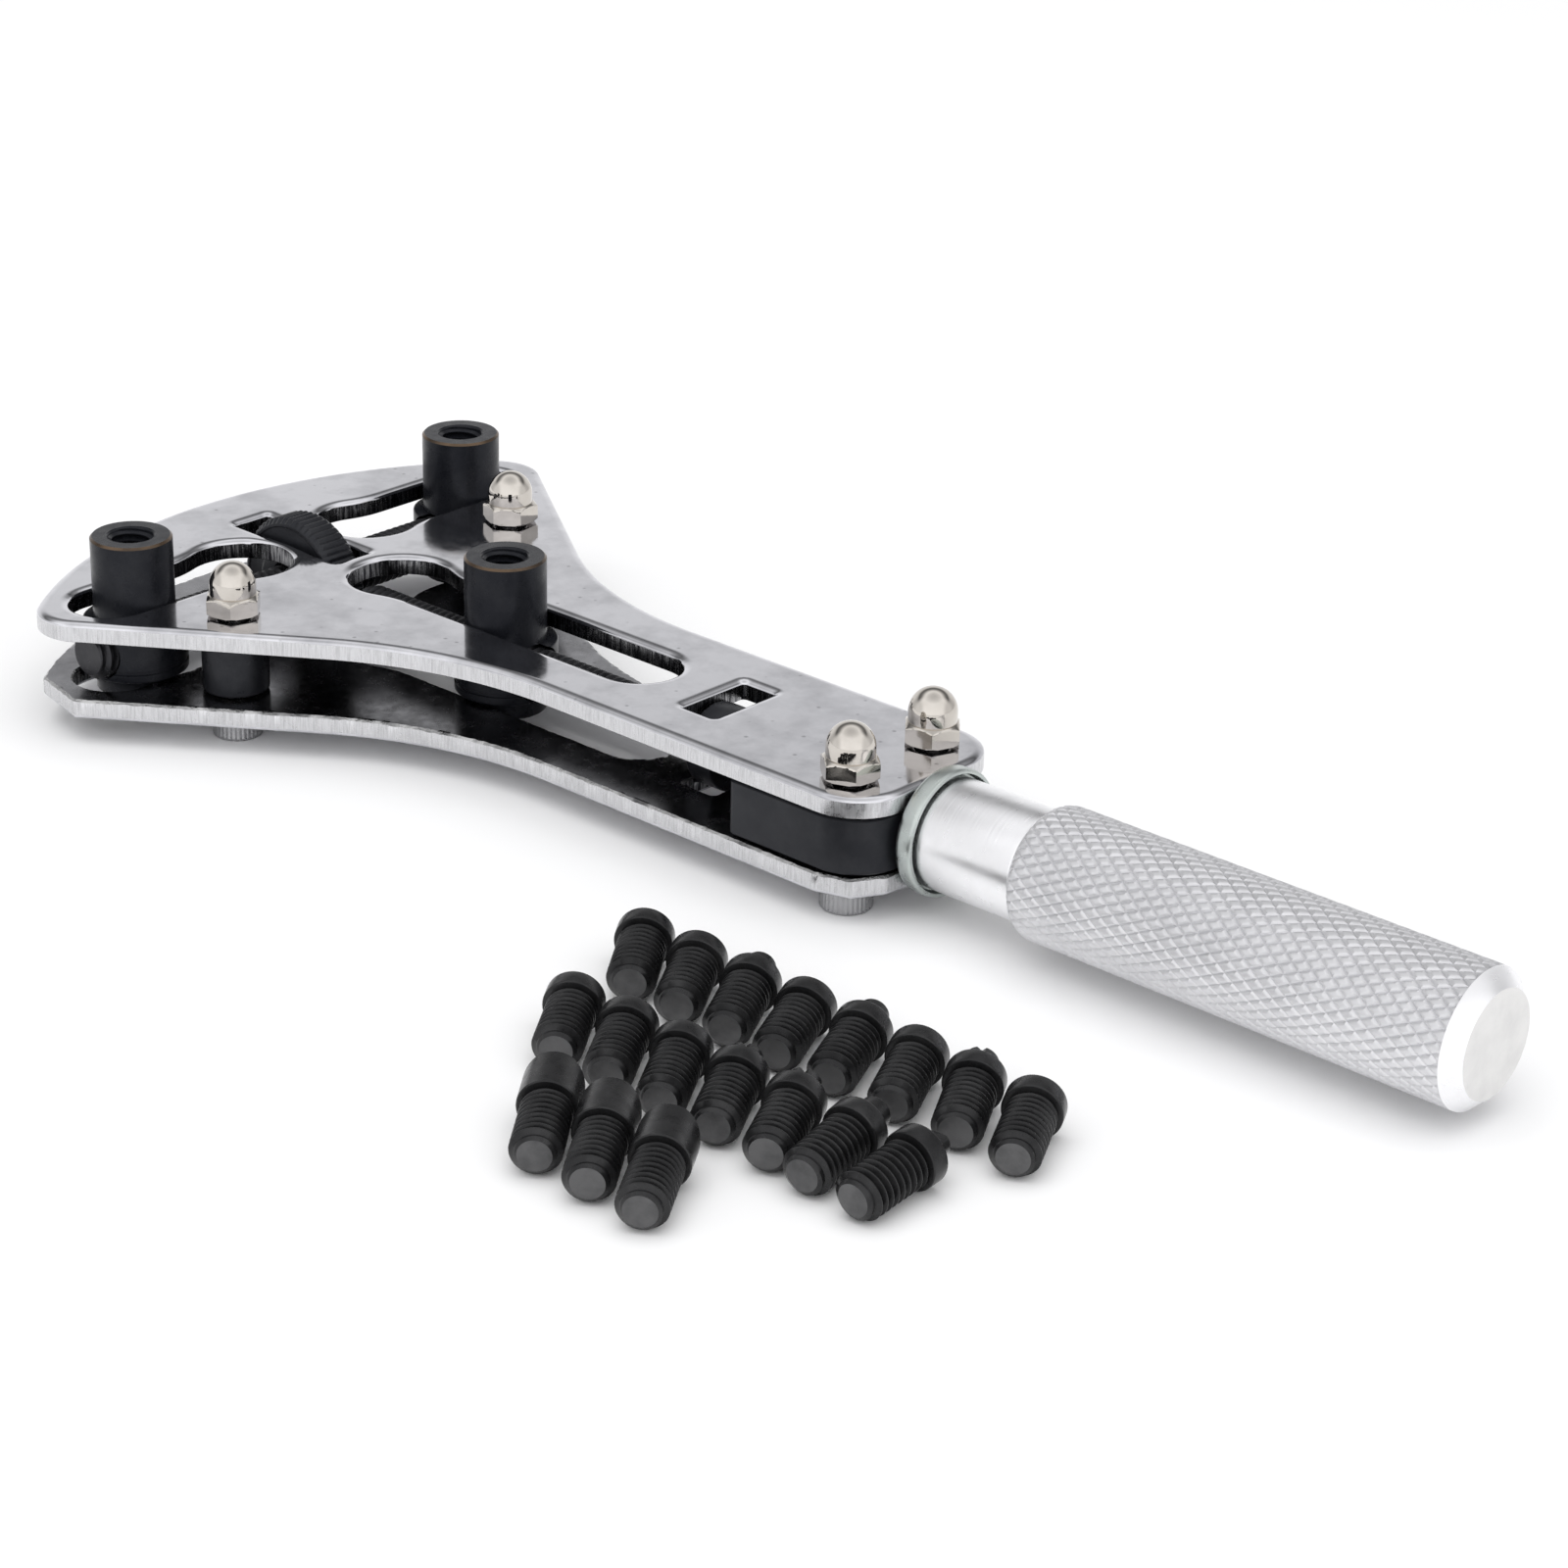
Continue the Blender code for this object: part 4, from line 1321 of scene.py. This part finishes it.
@dataclass
class BitSet:
    """The loose screw-in bits, in rows on the surface that the tool stands on."""

    thread_r: float = 2.45
    thread_length: float = 7.8
    head_r: float = 2.88
    rest_r: float = 2.9             # the head, and a hair's clearance, where a bit lies
    head_length: float = 2.0
    bevel: float = 0.7
    root_r: float = 1.9
    end_r: float = 1.6
    foot: float = 0.12             # how far the thread stays short of the head
    row_step: float = 6.9
    sides: int = 48
    rows: tuple[tuple[tuple[float, float], tuple[tuple[str, float], ...]], ...] = (
        ((-4.4, -31.0), (("pin_bit_medium", 125), ("pin_bit_medium", 121), ("pin_bit_large", 117),
                         ("pin_bit_small", 113), ("pin_bit_large", 112), ("flat_pin_bit", 115),
                         ("slotted_bit", 119), ("pin_bit_small", 117))),
        ((0.4, -45.4), (("pin_bit_small", 124), ("pin_bit_medium", 122), ("flat_pin_bit", 121),
                        ("slotted_bit", 119), ("slotted_bit", 116), ("pin_bit_large", 100),
                        ("flat_pin_bit", 93))),
        ((12.6, -60.6), (("wedge_bit", 127), ("wedge_bit", 125), ("wedge_bit", 122))),
    )

    def tip_shape(self, tip: Tip, start: float) -> Shape:
        """Radius of a tip round the axis, above the head's face.

        Args:
            tip: which end it has.
            start: where the tip begins.

        Returns:
            A function that cuts flats, or slots of a rounded V, into the plain radius.
        """
        width = tip.value[0]

        def shape(angle: np.ndarray, height: np.ndarray, radius: np.ndarray) -> np.ndarray:
            """The tip's radius.

            Args:
                angle: round the axis.
                height: above the head's foot.
                radius: the plain profile's.

            Returns:
                The radius.
            """
            on_tip = (height > start) & (radius > 0)
            if tip is Tip.FLAT_PIN:
                cut = 0.66 * width / np.maximum(np.abs(np.sin(angle)), 1e-3)
                return np.where(on_tip, np.minimum(radius, cut), radius)
            if tip is Tip.SLOTTED:
                groove = 0.3 * width * np.clip(1 - np.abs(np.sin(2 * angle)) / 0.5, 0, 1)
                return np.where(on_tip, np.maximum(radius - groove, 0.1), radius)
            return radius

        return shape

    def bit(self, tip: Tip) -> Shell:
        """A bit along its own Z: thread below the origin, head above it, then the tip.

        Args:
            tip: which end it has.

        Returns:
            The shell; slot 1 is the bare end of the thread.
        """
        low, head, r, foot = -self.thread_length, self.head_length, self.head_r, self.foot
        thread = Thread(self.root_r, self.thread_r, BIT_PITCH, sides=self.sides)
        crest, neck, end = self.thread_r, self.root_r - 0.01, self.end_r
        heights, limits = [low, low + self.bevel, -0.3, -foot], [end, crest, crest, neck]
        shell = Shell()
        shell.sheet(thread.sheet(low, -foot, lambda z: np.interp(z, heights, limits)))
        shell.spin([(0, low + 0.06), (0.7 * end, low + 0.02), (end, low)], self.sides, 1)
        under = [(neck, -foot), (neck, 0.0)]
        if tip is Tip.WEDGE:
            shell.spin(under + [(r - foot, 0.0), (r, foot)], self.sides)
            self.wedge(shell)
            return shell
        width, length = tip.value
        top = head + length
        corners = under + [(r, 0.0, 0.15), (r, head, 0.22), (width + 0.1, head, 0.06), (width, head + 0.08),
                           (width, top, 0.12), (0, top)]
        return shell.spin(eased(corners, 3), self.sides, shape=self.tip_shape(tip, head + 0.04))

    def wedge(self, shell: Shell) -> None:
        """Add a tall head cut by one slanting flat.

        The flat's height is head + (y + r) * slope, no higher than the edge. The side's rows are spread from
        the head's foot to that height, and the flat's rows shrink from the rim to the middle.

        Args:
            shell: the bit that it belongs to.
        """
        r, rise = self.head_r, Tip.WEDGE.value[1]
        top = self.head_length + rise
        angle = np.linspace(0, TAU, self.sides + 1)[None, :]

        def cut(y: np.ndarray) -> np.ndarray:
            """The flat's height at a place across the head."""
            return np.minimum(top, self.head_length + (y + r) * rise / (1.9 * r))

        share = np.linspace(0, 1, 8)[:, None]
        height = self.foot + (cut(r * np.sin(angle)) - self.foot) * share
        side = [r * np.cos(angle) + 0 * height, r * np.sin(angle) + 0 * height, height]
        shell.sheet(np.stack(side, axis=-1))
        radius = r * (1 - share)
        x, y = radius * np.cos(angle), radius * np.sin(angle)
        shell.sheet(np.stack([x, y, cut(y)], axis=-1))

    def build(self) -> None:
        """Every bit, lying on its head's rim and the end of its thread."""
        tilt = math.atan2(self.rest_r - self.thread_r, self.thread_length - 0.5)
        height = FLOOR_Z + self.rest_r * math.cos(tilt)
        count = dict.fromkeys(KINDS, 0)
        for (x, y), bits in self.rows:
            for place, (kind, angle) in enumerate(bits):
                count[kind] += 1
                turn = Matrix.Rotation(math.radians(angle), 3, "Z") @ Matrix.Rotation(-tilt, 3, "Y")
                at = (x + place * self.row_step, y, height)
                place_piece(self.bit(KINDS[kind]), f"{kind}_{count[kind]}",
                            [Finishes.bit, Finishes.bit_end], Axis.X, at, turn)


# ---------------------------------------------------------------- studio


@dataclass
class Studio:
    """Pale floor, soft light and the camera."""

    azimuth: float = 41.81         # degrees round from -Y towards +X
    elevation: float = 24.04
    roll: float = 1.32
    distance: float = 398.6
    target: Point = (-11.8, -2.84, 5.48)
    lens: float = 89.69
    near_wall: tuple[tuple[float, float], ...] = ((0.0, 1.3), (0.5, 1.25), (0.8, 1.2), (1.0, 0.75))
    side_light: float = 0.72       # brightness at the tent's sides, as a share
    lamp_place: Point = (0.0, -0.1, 0.9)      # in metres
    lamp_size: float = 1.0
    lamp_power: float = 3.6        # in watts
    far_wall: tuple[tuple[float, float], ...] = ((0.0, 0.98), (0.28, 0.92), (0.40, 0.75), (0.47, 0.45),
                                                 (0.56, 0.14), (0.70, 0.32), (0.86, 1.15), (1.0, 0.75))

    def floor(self) -> None:
        """A wide plane with a plain pale finish."""
        half, z = 6.0, FLOOR_Z * MM
        mesh = bpy.data.meshes.new("floor")
        corners = [(-half, -half, z), (half, -half, z), (half, half, z), (-half, half, z)]
        mesh.from_pydata(corners, [], [(0, 1, 2, 3)])
        material = bpy.data.materials.new("pale_floor")
        graph = Graph(material)
        graph.set("Base Color", (0.9, 0.9, 0.9, 1.0))
        graph.set("Roughness", 0.8)
        graph.set("Specular IOR Level", 0.2)
        mesh.materials.append(material)
        floor = bpy.data.objects.new("floor", mesh)
        bpy.context.scene.collection.objects.link(floor)

    def sky(self) -> None:
        """A light tent: bright behind the camera, a dark gap between far wall and roof, dim at its sides.

        A direction's height picks a brightness on each wall's ramp. Its reach away from the camera blends the
        near wall's into the far wall's, and its reach to either side dims both.
        """
        world = bpy.data.worlds.new("light_tent")
        bpy.context.scene.world = world
        graph = Graph(world, "Background")
        direction = graph.node("ShaderNodeTexCoord", {}).outputs["Generated"]
        height = graph.node("ShaderNodeSeparateXYZ", {"0": direction}).outputs["Z"]
        walls = [self.ramp(graph, height, stops) for stops in (self.near_wall, self.far_wall)]
        a = math.radians(self.azimuth)
        away, aside = (graph.node("ShaderNodeVectorMath", {"0": direction, "1": way},
                                  operation="DOT_PRODUCT").outputs["Value"]
                       for way in ((-math.sin(a), math.cos(a), 0.0), (math.cos(a), math.sin(a), 0.0)))
        share = graph.spread(away, 0.0, 1.0, start=-0.1, end=0.35, smooth=True)
        mixed = graph.node("ShaderNodeMix", {"Factor": share, "6": walls[0], "7": walls[1]}, data_type="RGBA")
        far_off = graph.node("ShaderNodeMath", {"0": aside}, operation="ABSOLUTE").outputs[0]
        graph.set("Color", mixed.outputs[2])
        graph.set("Strength", graph.spread(far_off, 1.0, self.side_light, start=0.65, end=0.9, smooth=True))

    def ramp(self, graph: Graph, height: bpy.types.NodeSocket,
             stops: tuple[tuple[float, float], ...]) -> bpy.types.NodeSocket:
        """Brightness by height.

        Args:
            graph: the world's nodes.
            height: from 0 at the horizon to 1 overhead.
            stops: heights and their brightness.

        Returns:
            The colour socket.
        """
        ramp = graph.node("ShaderNodeValToRGB", {"0": height})
        elements = ramp.color_ramp.elements
        for _ in stops[2:]:
            elements.new(0.5)
        for element, (place, value) in zip(elements, stops):
            element.position = place
            element.color = (value, value, value * 1.01, 1.0)
        return ramp.outputs["Color"]

    def lamp(self) -> None:
        """A square soft light overhead, which isn't mirrored in the tool's metal."""
        data = bpy.data.lights.new("roof_light", "AREA")
        data.shape, data.size, data.energy = "SQUARE", self.lamp_size, self.lamp_power
        lamp = bpy.data.objects.new("roof_light", data)
        lamp.location = self.lamp_place
        lamp.visible_glossy = False
        lamp.rotation_euler = (-lamp.location).to_track_quat("-Z", "Y").to_euler()
        bpy.context.scene.collection.objects.link(lamp)

    def camera(self) -> None:
        """The camera, by its direction and distance from the target."""
        data = bpy.data.cameras.new("camera")
        data.lens, data.sensor_width = self.lens, 36.0
        data.clip_start, data.clip_end = 0.01, 50.0
        camera = bpy.data.objects.new("camera", data)
        a, e = math.radians(self.azimuth), math.radians(self.elevation)
        back = Vector((math.sin(a) * math.cos(e), -math.cos(a) * math.cos(e), math.sin(e)))
        camera.location = (Vector(self.target) + back * self.distance) * MM
        roll = Matrix.Rotation(math.radians(self.roll), 3, "Z")
        camera.rotation_euler = ((-back).to_track_quat("-Z", "Y").to_matrix() @ roll).to_euler()
        bpy.context.scene.collection.objects.link(camera)
        bpy.context.scene.camera = camera

    def build(self) -> None:
        """Set the studio up."""
        bpy.context.scene.view_settings.view_transform = "Standard"
        self.floor()
        self.sky()
        self.lamp()
        self.camera()


def main() -> None:
    """Build the tool, then the studio round it."""
    logging.basicConfig(level=logging.INFO, format="%(message)s")
    body = Body()
    parts = [body, Fasteners(body),
             Jaw("head_jaw_left", body.jaw_x, -24.6, Axis.Y, body),
             Jaw("head_jaw_right", body.jaw_x, 24.6, Axis.Y, body),
             Jaw("centre_jaw", -55.5, 0.0, Axis.X, body),
             HeadDrive(body), HandleDrive(body), BitSet(), Studio()]
    for part in parts:
        part.build()
        LOG.info("%s done", type(part).__name__)


if __name__ == "__main__":
    main()
